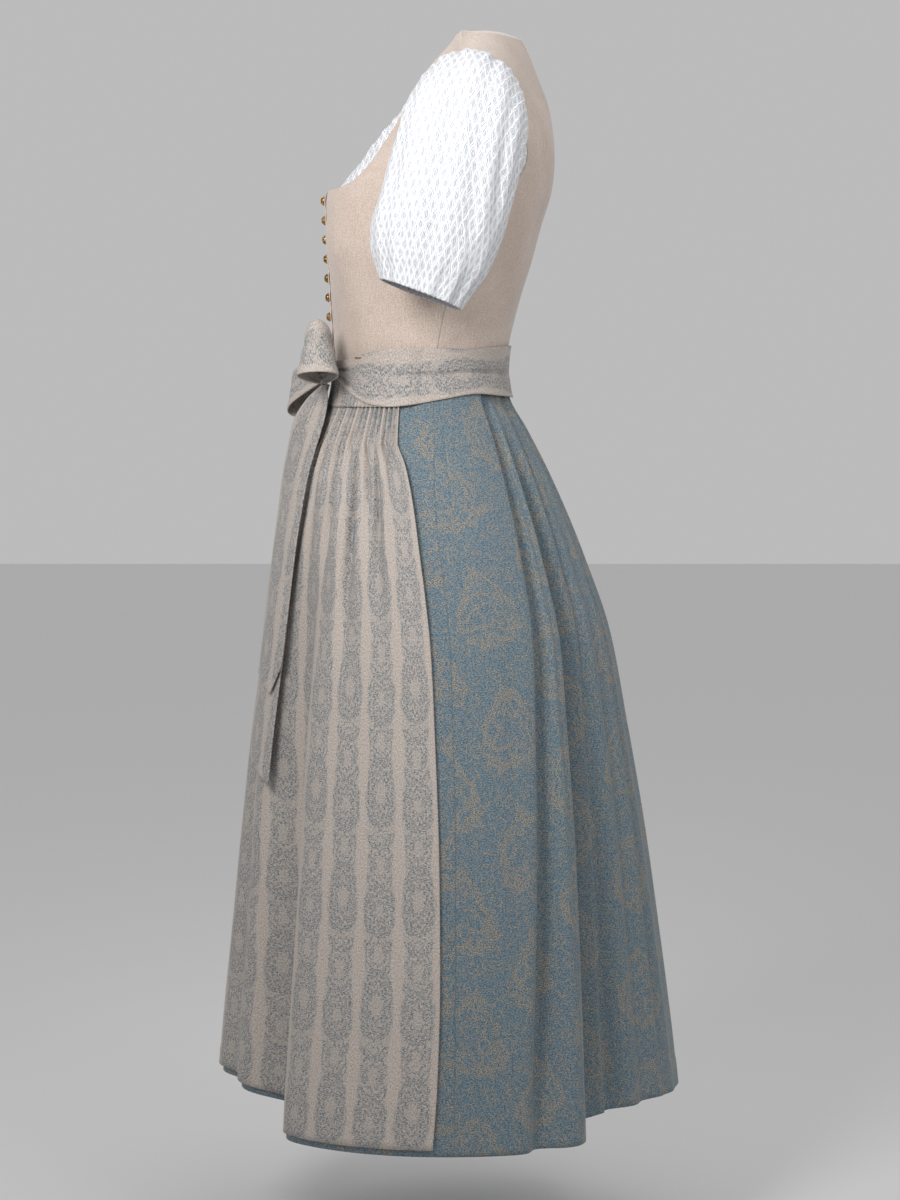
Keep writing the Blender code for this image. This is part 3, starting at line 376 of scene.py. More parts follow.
def points(x: Array, y: Array, z: Array) -> Array:
    """Stacks coordinates into an array of points."""
    return np.stack(np.broadcast_arrays(x, y, z), axis=-1).astype(float)


def unit(vectors: Array) -> Array:
    """The vectors at length 1."""
    return vectors / np.maximum(np.linalg.norm(vectors, axis=-1, keepdims=True), 1e-9)


def mix(first: tuple, second: tuple, share: Array) -> tuple:
    """Each entry of first moved by share towards second's."""
    return tuple(a + (b - a) * share for a, b in zip(first, second))


def hump(value: Array, middle: float, width: float) -> Array:
    """A smooth bump of height 1 at middle."""
    return np.exp(-(((value - middle) / width) ** 2))


def shoulder_drop(height: Array) -> Array:
    """How much a level falls for each metre out from the centre."""
    return SHOULDER_SLOPE * smooth_step(-0.17, 0.0, height)


def torso(angle: Array, height: Array, out: Array | float = 0.0) -> Array:
    """Points of the torso's form.

    Args:
        angle: section angle in degrees: -90 centre front, 0 left side, 90 centre back.
        height: section height.
        out: how far outside the form.

    Returns:
        The points.
    """
    angle, height = np.broadcast_arrays(np.asarray(angle, float), np.asarray(height, float))
    half_width, widest_y, front_y, back_y, back_square = read_table(TORSO, height)
    turn = np.radians(angle)
    side, front = np.cos(turn), np.sin(turn) < 0
    square = np.where(front, 2.0, back_square)
    reach = (1.0 - np.minimum(np.abs(side), 1.0) ** square) ** (1.0 / square)
    x = half_width * side
    y = widest_y + np.where(front, front_y - widest_y, back_y - widest_y) * reach
    swell = hump(np.abs(x), BUST_X, BUST_WIDTH) * hump(height, BUST_HEIGHT, BUST_DROP)
    y = y - np.where(front, BUST_RISE * swell * smooth_step(0.0, 0.35, reach), 0.0)
    place = points(x, y, height - shoulder_drop(height) * np.abs(x))
    if np.isscalar(out) and out == 0.0:
        return place
    along = torso(angle + 0.5, height) - torso(angle - 0.5, height)
    up = torso(angle, np.minimum(height + 0.001, SHOULDER_RIDGE)) - torso(angle, height - 0.001)
    return place + unit(np.cross(along, up)) * np.asarray(out, float)[..., None]


def height_at(z: Array, x: Array) -> Array:
    """The section height whose point at this x lies at this z.

    Args:
        z: levels.
        x: distances from the centre.

    Returns:
        The section heights.
    """
    z, x = np.broadcast_arrays(np.asarray(z, float), np.asarray(x, float))
    low, high = np.full(z.shape, -0.45), np.full(z.shape, SHOULDER_RIDGE)
    for _ in range(34):
        middle = (low + high) / 2
        under = middle - shoulder_drop(middle) * np.abs(x) < z
        low, high = np.where(under, middle, low), np.where(under, high, middle)
    return (low + high) / 2


def by_x(x: Array, z: Array, front: bool = True) -> tuple[Array, Array]:
    """Section angles and heights of the torso's points at these x and z.

    Args:
        x: distances from the centre.
        z: levels.
        front: whether the points are on the front.

    Returns:
        The angles and the heights.
    """
    height = height_at(z, x)
    share = np.clip(x / read_table(TORSO, height)[0], -1.0, 1.0)
    angle = np.degrees(np.arccos(share))
    return (-angle if front else angle), height


def by_angle(angle: Array, z: Array) -> tuple[Array, Array]:
    """Section angles and heights of the torso's points at these angles and z.

    Args:
        angle: section angles in degrees.
        z: levels.

    Returns:
        The angles and the heights.
    """
    height = np.asarray(z, float)
    for _ in range(24):
        height = height_at(z, read_table(TORSO, height)[0] * np.cos(np.radians(angle)))
    return angle, height


def armhole(rows: tuple, share: Array) -> tuple[Array, Array]:
    """The armhole's edge from the side seam (0) to the shoulder (1).

    Args:
        rows: the edge's front or back rows.
        share: shares of the way up.

    Returns:
        The angles and the heights.
    """
    angle, height = by_angle(*read_path(rows, share))
    end_angle, end_height = by_x(STRAP_OUTER_X, STRAP_OUTER_Z, rows is ARMHOLE_FRONT)
    last = np.asarray(share) >= 1.0
    return np.where(last, end_angle, angle), np.where(last, end_height, height)


def skirt_base(angle: Array, z: Array) -> Array:
    """The skirt's sections without folds.

    Args:
        angle: section angles in degrees.
        z: levels.

    Returns:
        The points.
    """
    half_width, front_y, back_y = read_table(SKIRT, z)
    turn = np.radians(angle)
    middle, half_depth = (front_y + back_y) / 2, (back_y - front_y) / 2
    return points(half_width * np.cos(turn), middle + half_depth * np.sin(turn), z)


def skirt_centre(z: Array) -> Array:
    """The middle of the skirt's sections."""
    _, front_y, back_y = read_table(SKIRT, z)
    return points(np.zeros_like(front_y), (front_y + back_y) / 2, z)


def turned(angle: Array) -> Array:
    """The angle between -180 and 180."""
    return (np.asarray(angle, float) + 180.0) % 360.0 - 180.0


def fold_depth(angle: Array, z: Array) -> Array:
    """How far the skirt's folds take it in.

    Args:
        angle: section angles in degrees.
        z: levels.

    Returns:
        The depths.
    """
    fall = np.clip((WAIST - z) / (WAIST - SKIRT_HEM), 0.0, 1.0)
    depth = np.zeros(np.broadcast(angle, z).shape)
    for waist_angle, hem_angle, waist_depth, hem_depth, ahead, behind, start in FOLDS:
        middle = waist_angle + (hem_angle - waist_angle) * fall**0.7
        away = turned(angle - middle)
        width = np.where(away < 0, ahead, behind) * (0.55 + 0.45 * fall)
        grown = smooth_step(start * 0.8, 1.0, fall) ** 0.8
        amount = waist_depth * (1.0 - fall) + hem_depth * grown
        depth = depth + amount * np.exp(-((away / width) ** 2) * 1.4)
    return depth


def skirt(angle: Array, z: Array, out: Array | float = 0.0) -> Array:
    """Points of the skirt's outer face, with its folds.

    Args:
        angle: section angles in degrees.
        z: levels.
        out: how far outside the form.

    Returns:
        The points.
    """
    base = skirt_base(angle, z)
    way = unit(base - skirt_centre(z))
    return base + way * np.asarray(out - fold_depth(angle, z))[..., None]


def hem_height(level: float, angle: Array) -> Array:
    """The hem's height at these angles."""
    return level + read_table(HEM_RISE, turned(angle))[0]


def hem_step(turn_z: float, z: Array) -> Array:
    """How much further out the cloth lies where its hem is turned up."""
    return HEM_DOUBLE * smooth_step(-turn_z, -turn_z + HEM_STEP, -np.asarray(z))


def waist_form(angle: Array, z: Array, out: Array | float) -> Array:
    """The form under the tie: the bodice above the waist seam and the skirt below it.

    Args:
        angle: section angles in degrees.
        z: levels.
        out: how far outside the form.

    Returns:
        The points.
    """
    above = (np.asarray(z) >= WAIST)[..., None]
    base = np.where(above, torso(angle, z), skirt_base(angle, z))
    centre = points(np.zeros_like(z), -0.0535, z)
    return base + unit(base - centre) * np.asarray(out, float)[..., None]


def apron_edges(z: Array) -> tuple[Array, Array]:
    """The section angles of the apron's left and right edges."""
    left = read_table(APRON_EDGE, z)[0]
    return left, -180.0 - left


def apron_form(across: Array, z: Array, extra: Array) -> Array:
    """Points of the apron's outer face: the skirt's folds, its gauging and its gathers.

    Args:
        across: share of the way from its right edge to its left.
        z: level.
        extra: how far further out.

    Returns:
        The points.
    """
    left, right = apron_edges(z)
    angle = right + (left - right) * across
    header = HEADER_DEPTH * smooth_step(RELEASE_END, HEADER_LOW, z)
    wave = header * np.cos(2.0 * np.pi * HEADER_PLEATS * across)
    swell = smooth_step(GATHER_END, GATHER_PEAK, z) * smooth_step(-HEADER_LOW, -GATHER_PEAK, -z)
    lean = 0.6 * np.sin(5.0 * across) + 0.5 * np.sin(13.0 * across + 1.0)
    uneven = 0.7 + 0.3 * np.sin(17.0 * across)
    wave = wave + GATHER_DEPTH * swell * uneven * np.cos(
        2.0 * np.pi * GATHER_WAVES * across + lean
    )
    low_share = smooth_step(0.402, 0.475, -z)
    out = HEADER_OUT + (APRON_STAND_OFF - HEADER_OUT + 0.003 * swell) * low_share + wave + extra
    above = (z >= WAIST)[..., None]
    return np.where(above, waist_form(angle, z, out), skirt(angle, z, out))


def sash_out(angle: Array) -> Array:
    """How far the tie's outer face stands off the waist's form: further over the apron's top.

    Args:
        angle: section angles in degrees.

    Returns:
        The distances.
    """
    left = smooth_step(0.0, 1.0, (1.0 - angle) / 10.0)
    right = smooth_step(0.0, 1.0, (angle + 181.0) / 10.0)
    over_apron = np.where(angle > -90.0, left, right)
    return SASH_OUT_BACK + (SASH_OUT_FRONT - SASH_OUT_BACK) * over_apron


class Grain(Enum):
    """How a cloth's UV map is laid on its piece."""

    SHARE = "across by share of the width, as in gathered cloth"
    ARC = "across by length from the middle, as in cut cloth"


class Held(Enum):
    """How a sheet is held."""

    HUNG = "hung"
    GATHERED = "gathered"
    LAID = "laid"
    FOLDED = "folded"
    STRETCHED = "stretched"


def linear(red: float, green: float, blue: float) -> tuple[float, float, float, float]:
    """A screen colour of 0 to 255 as linear light.

    Args:
        red: red channel.
        green: green channel.
        blue: blue channel.

    Returns:
        The colour with an alpha of 1.
    """
    channels = [
        c / 12.92 if c <= 0.04045 else ((c + 0.055) / 1.055) ** 2.4
        for c in (red / 255, green / 255, blue / 255)
    ]
    return (*channels, 1.0)


@dataclass(frozen=True)
class Term:
    """A number in a material's node tree, which operators extend with math nodes."""

    graph: "Graph"
    socket: object

    def __add__(self, other: object) -> "Term":
        """Sum."""
        return self.graph.math("ADD", self, other)

    def __sub__(self, other: object) -> "Term":
        """Difference."""
        return self.graph.math("SUBTRACT", self, other)

    def __rsub__(self, other: object) -> "Term":
        """Difference from a number."""
        return self.graph.math("SUBTRACT", other, self)

    def __mul__(self, other: object) -> "Term":
        """Product."""
        return self.graph.math("MULTIPLY", self, other)

    def __truediv__(self, other: object) -> "Term":
        """Quotient."""
        return self.graph.math("DIVIDE", self, other)

    __radd__ = __add__
    __rmul__ = __mul__


class Graph:
    """One material's node tree, built from short expressions."""

    def __init__(self, name: str) -> None:
        """Starts the material and finds its shader.

        Args:
            name: the material's name.
        """
        self.material = bpy.data.materials.new(name)
        self.material.use_nodes = True
        self.tree = self.material.node_tree
        self.shader = self.tree.nodes["Principled BSDF"]

    def link(self, value: object, socket: object) -> None:
        """Feeds a term or a plain value into a socket.

        Args:
            value: a term or a plain value.
            socket: the socket it goes into.
        """
        if isinstance(value, Term):
            self.tree.links.new(value.socket, socket)
        else:
            socket.default_value = value

    def math(self, operation: str, *values: object) -> Term:
        """A math node.

        Args:
            operation: the operation, as the node names it.
            values: its inputs.

        Returns:
            The result.
        """
        node = self.tree.nodes.new("ShaderNodeMath")
        node.operation = operation
        for value, socket in zip(values, node.inputs):
            self.link(value, socket)
        return Term(self, node.outputs[0])

    def map(self) -> tuple[Term, Term]:
        """The cloth map's two coordinates, in metres.

        Returns:
            The coordinates across and up.
        """
        node = self.tree.nodes.new("ShaderNodeUVMap")
        node.uv_map = "cloth"
        split = self.tree.nodes.new("ShaderNodeSeparateXYZ")
        self.tree.links.new(node.outputs[0], split.inputs[0])
        return Term(self, split.outputs[0]), Term(self, split.outputs[1])

    def combine(self, x: object, y: object) -> Term:
        """A vector of two coordinates, its third 0.

        Args:
            x: first coordinate.
            y: second coordinate.

        Returns:
            The vector.
        """
        node = self.tree.nodes.new("ShaderNodeCombineXYZ")
        for value, socket in zip((x, y), node.inputs):
            self.link(value, socket)
        return Term(self, node.outputs[0])

    def noise(self, vector: Term, scale: float, detail: float = 2.0, rough: float = 0.5) -> Term:
        """Noise between about 0.2 and 0.8.

        Args:
            vector: where it is read.
            scale: features per metre.
            detail: finer octaves.
            rough: their weight.

        Returns:
            The noise.
        """
        node = self.tree.nodes.new("ShaderNodeTexNoise")
        self.link(vector, node.inputs["Vector"])
        node.inputs["Scale"].default_value = scale
        node.inputs["Detail"].default_value = detail
        node.inputs["Roughness"].default_value = rough
        return Term(self, node.outputs[0])

    def ramp(self, value: Term, low: float, high: float) -> Term:
        """0 below low, 1 above high and a smooth rise between; falling if high is the lower.

        Args:
            value: the input.
            low: where it is 0.
            high: where it is 1.

        Returns:
            The share.
        """
        node = self.tree.nodes.new("ShaderNodeMapRange")
        node.interpolation_type = "SMOOTHSTEP"
        self.link(value, node.inputs["Value"])
        flip = high < low
        node.inputs["From Min"].default_value = min(low, high)
        node.inputs["From Max"].default_value = max(low, high)
        node.inputs["To Min"].default_value = 1.0 if flip else 0.0
        node.inputs["To Max"].default_value = 0.0 if flip else 1.0
        return Term(self, node.outputs[0])

    def near(self, value: Term, target: float, width: float) -> Term:
        """1 where value is within width of target."""
        return self.ramp(self.math("ABSOLUTE", value - target), width, width * 0.4)

    def colour(self, share: object, first: object, second: object) -> Term:
        """The first colour mixed by share towards the second.

        Args:
            share: 0 for the first.
            first: a colour.
            second: a colour.

        Returns:
            The mixed colour.
        """
        node = self.tree.nodes.new("ShaderNodeMix")
        node.data_type = "RGBA"
        self.link(share, node.inputs[0])
        self.link(first, node.inputs[6])
        self.link(second, node.inputs[7])
        return Term(self, node.outputs[2])

    def bump(self, height: Term, distance: float, strength: float) -> None:
        """Feeds the shader's normal from a height between 0 and 1.

        Args:
            height: the relief.
            distance: its depth in metres.
            strength: its weight.
        """
        node = self.tree.nodes.new("ShaderNodeBump")
        node.inputs["Strength"].default_value = strength
        node.inputs["Distance"].default_value = distance
        self.link(height, node.inputs["Height"])
        self.tree.links.new(node.outputs[0], self.shader.inputs["Normal"])

    def finish(self, colour: object, roughness: float, sheen: float) -> bpy.types.Material:
        """Sets the shader's cloth values and returns the material.

        Args:
            colour: base colour.
            roughness: roughness.
            sheen: weight of the sheen.

        Returns:
            The material.
        """
        self.link(colour, self.shader.inputs["Base Color"])
        self.shader.inputs["Roughness"].default_value = roughness
        self.shader.inputs["Sheen Weight"].default_value = sheen
        self.shader.inputs["Sheen Roughness"].default_value = 0.5
        self.shader.inputs["Specular IOR Level"].default_value = 0.2
        return self.material


@dataclass(frozen=True)
class WoolFinish:
    """Fulled melange wool with a faint upright slub."""

    light: tuple = linear(206, 191, 180)
    dark: tuple = linear(168, 150, 138)
    grain: float = 760.0

    def build(self) -> bpy.types.Material:
        """Makes the material.

        Returns:
            The material.
        """
        graph = Graph("wool")
        across, up = graph.map()
        fleck = graph.noise(graph.combine(across, up * 0.8), self.grain, 3.0, 0.75)
        slub = graph.noise(graph.combine(across * 3.0, up * 0.25), 330.0, 2.0)
        cloud = graph.noise(graph.combine(across, up), 18.0, 3.0)
        share = graph.ramp(fleck * 0.62 + slub * 0.24 + cloud * 0.14, 0.62, 0.38)
        graph.bump(fleck * 0.7 + slub * 0.3, 0.0003, 0.35)
        return graph.finish(graph.colour(share, self.light, self.dark), 0.9, 0.3)


@dataclass(frozen=True)
class SkirtFinish:
    """Slate-blue jacquard with broken tan drops, leaves and small scrolls."""

    blue: tuple = linear(108, 134, 149)
    deep: tuple = linear(58, 76, 88)
    tan: tuple = linear(176, 155, 126)
    shadow: tuple = linear(44, 57, 66)
    cell_width: float = 0.086
    cell_height: float = 0.128
    drop_width: float = 0.031
    drop_height: float = 0.044
    curl_width: float = 0.023
    curl_height: float = 0.026
    line: float = 0.11

    def drops(self, graph: Graph, across: Term, up: Term) -> tuple[Term, Term]:
        """Large bent drops with leafy outlines, in half-drop rows.

        Args:
            graph: the material's nodes.
            across: the cloth's first coordinate.
            up: its second coordinate.

        Returns:
            1 on a drop's outlines, and the distance from its middle, 1 at its edge.
        """
        column = graph.math("FLOOR", across / self.cell_width)
        odd = graph.math("FLOORED_MODULO", column, 2.0)
        x = graph.math("FRACT", across / self.cell_width) - 0.5
        y = graph.math("FRACT", up / self.cell_height + odd * 0.5) - 0.5
        x = x * (1.0 - odd * 2.0) * (self.cell_width / self.drop_width)
        y = y * (self.cell_height / self.drop_height)
        bent = x + y * y * 0.34 - y * 0.12
        slim = bent / (1.06 - graph.math("MAXIMUM", y * 0.5, -0.25))
        edge = graph.math("SQRT", slim * slim + y * y)
        turn = graph.math("ARCTAN2", y, bent)
        leaf = graph.math("ABSOLUTE", graph.math("SINE", turn * 6.5 + edge * 2.0)) * 0.13
        lines = graph.near(edge + leaf, 1.02, self.line)
        for ring, lobes, reach in ((0.80, 9.0, 0.05), (0.60, 6.0, 0.10), (0.34, 5.0, 0.12)):
            wave = graph.math("COSINE", turn * lobes) * reach
            lines = graph.math("MAXIMUM", lines, graph.near(edge + wave, ring, self.line * 0.8))
        return lines, edge

    def curls(self, graph: Graph, across: Term, up: Term) -> Term:
        """Small open scrolls, each turned its own way.

        Args:
            graph: the material's nodes.
            across: the cloth's first coordinate.
            up: its second coordinate.

        Returns:
            1 on a scroll.
        """
        level = graph.math("FLOOR", up / self.curl_height)
        shift = graph.math("FLOORED_MODULO", level, 2.0) * 0.5
        column = graph.math("FLOOR", across / self.curl_width + shift)
        x = (graph.math("FRACT", across / self.curl_width + shift) - 0.5) * 2.3
        y = (graph.math("FRACT", up / self.curl_height) - 0.5) * 2.3
        own = graph.math("FRACT", graph.math("SINE", column * 12.99 + level * 78.23) * 437.5)
        turn = graph.math("ARCTAN2", y, x) + own * math.tau
        edge = graph.math("SQRT", x * x + y * y)
        open_side = graph.ramp(graph.math("COSINE", turn), -0.75, -0.35)
        spiral = edge + graph.math("SINE", turn * 0.5) * 0.16
        leafy = graph.math("COSINE", turn * 4.0) * 0.08
        rings = graph.math("MAXIMUM", graph.near(spiral + leafy, 0.84, 0.13) * open_side,
                           graph.near(spiral, 0.42, 0.13) * graph.ramp(own, 0.2, 0.4))
        return rings

    def build(self) -> bpy.types.Material:
        """Makes the material.

        Returns:
            The material.
        """
        graph = Graph("skirt_jacquard")
        first, second = graph.map()
        near = graph.combine(first, second)
        far = graph.combine(first + 3.7, second + 1.9)
        across = first + (graph.noise(near, 34.0, 2.0) - 0.5) * 0.020
        up = second + (graph.noise(far, 34.0, 2.0) - 0.5) * 0.020
        drops, edge = self.drops(graph, across, up)
        curls = self.curls(graph, across, up) * graph.ramp(edge, 1.02, 1.14)
        lines = graph.math("MAXIMUM", drops, curls * 0.85)
        dash = graph.noise(graph.combine(first * 0.9, second * 1.3), 760.0, 2.0, 0.8)
        patch = graph.noise(near, 55.0, 2.0)
        speck = graph.ramp(dash, 0.46, 0.58)
        lines = lines * (graph.ramp(patch, 0.30, 0.50) * 0.75 + 0.25)
        tuft = graph.noise(graph.combine(first, second * 1.2), 150.0, 3.0, 0.7)
        scatter = graph.ramp(tuft, 0.44, 0.62) * 0.45
        amount = graph.math("MINIMUM", lines * 0.75 + scatter + 0.16, 1.0)
        weave = graph.noise(graph.combine(first * 0.8, second * 1.2), 640.0, 3.0, 0.8)
        ground = graph.colour(graph.ramp(weave, 0.56, 0.44), self.blue, self.deep)
        outline = graph.math("MAXIMUM", drops, curls) * graph.ramp(dash, 0.50, 0.36)
        ground = graph.colour(outline * 0.6, ground, self.shadow)
        shown = speck * amount * 0.85
        graph.bump(weave * 0.6 + lines * 0.4, 0.0003, 0.4)
        return graph.finish(graph.colour(shown, ground, self.tan), 0.66, 0.15)


@dataclass(frozen=True)
class StripeFinish:
    """Warm grey-beige jacquard with ornament stripes in slate.

    turned: lays the stripes along the map's first coordinate.
    """

    name: str
    beige: tuple = linear(194, 184, 176)
    shade: tuple = linear(150, 140, 133)
    slate: tuple = linear(72, 94, 106)
    pitch: float = 0.047
    drop: float = 0.22
    turned: bool = False

    def figures(self, graph: Graph, x: Term, y: Term) -> Term:
        """The outlines in one stripe.

        Args:
            graph: the material's nodes.
            x: distance from the stripe's middle, in mm.
            y: place along the stripe, in mm.

        Returns:
            1 on an outline.
        """
        shown = None
        for middle, half_height, half_width, rings in MEDALLIONS:
            level = (y - middle) / half_height
            wide = x / half_width
            power = graph.math("ABSOLUTE", level) * 0.35 + 0.65
            radius = graph.math("SQRT", level * level + wide * wide * power)
            turn = graph.math("ARCTAN2", level, wide)
            scallop = graph.math("COSINE", turn * 10.0) * 0.08
            for ring in rings:
                band = graph.near(radius + scallop, ring, 0.12)
                shown = band if shown is None else graph.math("MAXIMUM", shown, band)
        side, level = x - 11.0, graph.math("FLOORED_MODULO", y, 22.0) - 11.0
        turned, along = side * 0.8 - level * 0.6, side * 0.6 + level * 0.8
        turned, along = turned / 3.6, along / 8.5
        leaf = graph.math("SQRT", turned * turned + along * along)
        return graph.math("MAXIMUM", shown, graph.near(leaf, 0.85, 0.34))

    def ornament(self, graph: Graph, across: Term, up: Term) -> Term:
        """The stripes: outlines over a light speckle, with a wavy edge.

        Args:
            graph: the material's nodes.
            across: coordinate across the stripes, in metres.
            up: coordinate along the stripes, in metres.

        Returns:
            How much slate shows, 0 between the stripes.
        """
        stripe = graph.math("FLOOR", across / self.pitch)
        odd = graph.math("FLOORED_MODULO", stripe, 2.0)
        side = graph.math("FRACT", across / self.pitch) - 0.5
        x = graph.math("ABSOLUTE", side) * self.pitch * 1000.0
        y = graph.math("FRACT", up / self.drop + odd * 0.5) * self.drop * 1000.0
        wave = graph.math("COSINE", (y - 26.0) * (2.0 * math.pi / (self.drop * 500.0)))
        inside = graph.ramp(x - (wave * 2.2 + 17.6), 1.4, -1.4)
        return graph.math("MINIMUM", self.figures(graph, x, y) * 0.8 + 0.34, 1.0) * inside

    def build(self) -> bpy.types.Material:
        """Makes the material.

        Returns:
            The material.
        """
        graph = Graph(self.name)
        first, second = graph.map()
        across, up = (second, first) if self.turned else (first, second)
        shift = graph.noise(graph.combine(first, second), 60.0, 1.0) - 0.5
        figure = self.ornament(graph, across + shift * 0.005, up + shift * 0.008)
        stretch = (1.7, 0.6) if self.turned else (0.6, 1.7)
        dashes = graph.combine(first * stretch[0], second * stretch[1])
        thread = graph.noise(dashes, 640.0, 2.0, 0.8)
        figure = figure * graph.ramp(thread, 0.45, 0.56)
        weave = graph.noise(graph.combine(first, second * 0.7), 760.0, 3.0, 0.75)
        ground = graph.colour(graph.ramp(weave, 0.62, 0.38), self.beige, self.shade)
        graph.bump(weave * 0.7 + figure * 0.3, 0.0003, 0.4)
        return graph.finish(graph.colour(figure * 0.9, ground, self.slate), 0.68, 0.15)


@dataclass(frozen=True)
class LaceFinish:
    """White cotton lace of doubled diamond cords with a dot in each, with painted shade in the
    cooler grey between the cords.
    """

    white: tuple = linear(242, 242, 245)
    # Painted shade: the grey-blue ground between the raised cords stands in for the shade in the
    # lace's hollows.
    hollow_shade: tuple = linear(198, 199, 208)
    width: float = 0.0096
    height: float = 0.0170

    def build(self) -> bpy.types.Material:
        """Makes the material.

        Returns:
            The material.
        """
        graph = Graph("lace")
        across, up = graph.map()
        near = graph.combine(across, up)
        far = graph.combine(across + 2.3, up + 5.1)
        x = across / self.width + (graph.noise(near, 150.0, 2.0) - 0.5) * 0.55
        y = up / self.height + (graph.noise(far, 110.0, 2.0) - 0.5) * 0.45
        first = graph.math("ABSOLUTE", graph.math("FRACT", x + y) - 0.5)
        second = graph.math("ABSOLUTE", graph.math("FRACT", x - y) - 0.5)
        edge = graph.math("MAXIMUM", first, second)
        outer = graph.near(edge, 0.46, 0.12)
        inner = graph.near(edge, 0.27, 0.10)
        middle = graph.ramp(edge, 0.12, 0.05)
        cord = graph.math("MAXIMUM", outer, graph.math("MAXIMUM", inner * 0.85, middle * 0.6))
        fibre = graph.noise(near, 1100.0, 2.0)
        clump = graph.noise(far, 240.0, 2.0)
        height = cord * (0.6 + clump * 0.5) + fibre * 0.2
        graph.bump(height, 0.0022, 0.9)
        graph.shader.inputs["Subsurface Weight"].default_value = 0.1
        graph.shader.inputs["Subsurface Scale"].default_value = 0.003
        # Painted shade: away from the cords the white falls to the darker grey-blue of the
        # hollows.
        return graph.finish(graph.colour(cord, self.hollow_shade, self.white), 0.8, 0.1)


@dataclass(frozen=True)
class BronzeFinish:
    """Polished metal with a patchy patina."""

    name: str
    bright: tuple = linear(240, 190, 118)
    dark: tuple = linear(70, 44, 24)
    grain: float = 420.0
    roughness: float = 0.26

    def build(self) -> bpy.types.Material:
        """Makes the material.

        Returns:
            The material.
        """
        graph = Graph(self.name)
        place = graph.tree.nodes.new("ShaderNodeTexCoord")
        spot = Term(graph, place.outputs["Object"])
        patina = graph.ramp(graph.noise(spot, self.grain, 3.0), 0.36, 0.62)
        graph.link(graph.colour(patina, self.dark, self.bright), graph.shader.inputs["Base Color"])
        graph.shader.inputs["Metallic"].default_value = 1.0
        graph.shader.inputs["Roughness"].default_value = self.roughness
        return graph.material


@dataclass(frozen=True)
class Cloth:
    """A cloth piece laid on a form as a grid."""

    name: str
    columns: int
    rows: int
    wall: float
    material: bpy.types.Material
    slot: str
    grain: Grain = Grain.ARC
    width: float = 1.0
    closed: bool = False
    keep: Callable[[int, int], bool] | None = None

    def lay(self, place: Place) -> bpy.types.Object:
        """Builds the piece's mesh with its UV map and wall.

        Args:
            place: gives the points at these column and row shares.

        Returns:
            The piece, which rides on the root body and replaces the solid of its name.
        """
        builder = bmesh.new()
        bmesh.ops.create_grid(builder, x_segments=self.columns, y_segments=self.rows, size=0.5)
        spots = np.array([vert.co[:2] for vert in builder.verts]) + 0.5
        across, up = spots[:, 0], spots[:, 1]
        laid = place(across, up)
        column = np.rint(across * self.columns).astype(int)
        row = np.rint(up * self.rows).astype(int)
        table = np.zeros((self.columns + 1, self.rows + 1, 3))
        table[column, row] = laid
        maps = self.cloth_map(table)
        layer = builder.loops.layers.uv.new("cloth")
        builder.verts.ensure_lookup_table()
        for face in builder.faces:
            face.smooth = True
            for loop in face.loops:
                index = loop.vert.index
                loop[layer].uv = maps[column[index], row[index]]
        if self.keep:
            cut = []
            for face in builder.faces:
                middle = face.calc_center_median()
                cell = int((middle.x + 0.5) * self.columns), int((middle.y + 0.5) * self.rows)
                if not self.keep(*cell):
                    cut.append(face)
        for vert, point in zip(builder.verts, laid):
            vert.co = point
        if self.keep:
            bmesh.ops.delete(builder, geom=cut, context="FACES")
        if self.closed:
            bmesh.ops.remove_doubles(builder, verts=builder.verts, dist=0.00002)
        return finish_piece(self.name, builder, self.material, self.wall)

    def cloth_map(self, table: Array) -> Array:
        """UV coordinates in metres for the grid's points, from the lengths between them.

        Args:
            table: points by column and row.

        Returns:
            The coordinates by column and row.
        """
        steps = np.linalg.norm(np.diff(table, axis=0), axis=2)
        along = np.concatenate([np.zeros((1, table.shape[1])), steps.cumsum(axis=0)])
        rises = np.linalg.norm(np.diff(table, axis=1), axis=2).mean(axis=0)
        up = np.concatenate([[0.0], rises.cumsum()])
        if self.grain is Grain.ARC:
            across = along - along[-1:] / 2
        else:
            shares = np.arange(self.columns + 1) / self.columns
            across = np.repeat(shares[:, None] * self.width, self.rows + 1, axis=1)
        return np.stack([across, np.broadcast_to(up, across.shape)], axis=-1)


def finish_piece(name: str, builder: bmesh.types.BMesh, material: bpy.types.Material,
                 wall: float = 0.0) -> bpy.types.Object:
    """Turns a mesh builder into the shown piece for the solid of the same name.

    Args:
        name: the solid's name.
        builder: the mesh, which is freed.
        material: its finish.
        wall: thickness grown inwards, or 0 for a closed form.

    Returns:
        The piece.
    """
    mesh = bpy.data.meshes.new(f"{name}_look")
    builder.to_mesh(mesh)
    builder.free()
    piece = bpy.data.objects.new(f"{name}_look", mesh)
    bpy.context.scene.collection.objects.link(piece)
    mesh.materials.append(material)
    if wall:
        shell = piece.modifiers.new("wall", "SOLIDIFY")
        shell.thickness = wall
        shell.offset = -1.0
    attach(piece, "root")
    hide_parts(name)
    return piece


def mirror_points(place: Place) -> Place:
    """The same form on the wearer's right, with its columns turned round.

    Args:
        place: the form on the left.

    Returns:
        The form on the right.
    """

    def mirrored(across: Array, up: Array) -> Array:
        """Points of the turned form."""
        laid = place(1.0 - across, up)
        return laid * np.array((-1.0, 1.0, 1.0))

    return mirrored


def declare(piece: bpy.types.Object, flat: tuple[float, float], held: Held) -> None:
    """Logs a sheet of cloth with its flat size and how it is held."""
    LOG.info("%s: cloth %.3f x %.3f m, %s", piece.name, *flat, held.value)


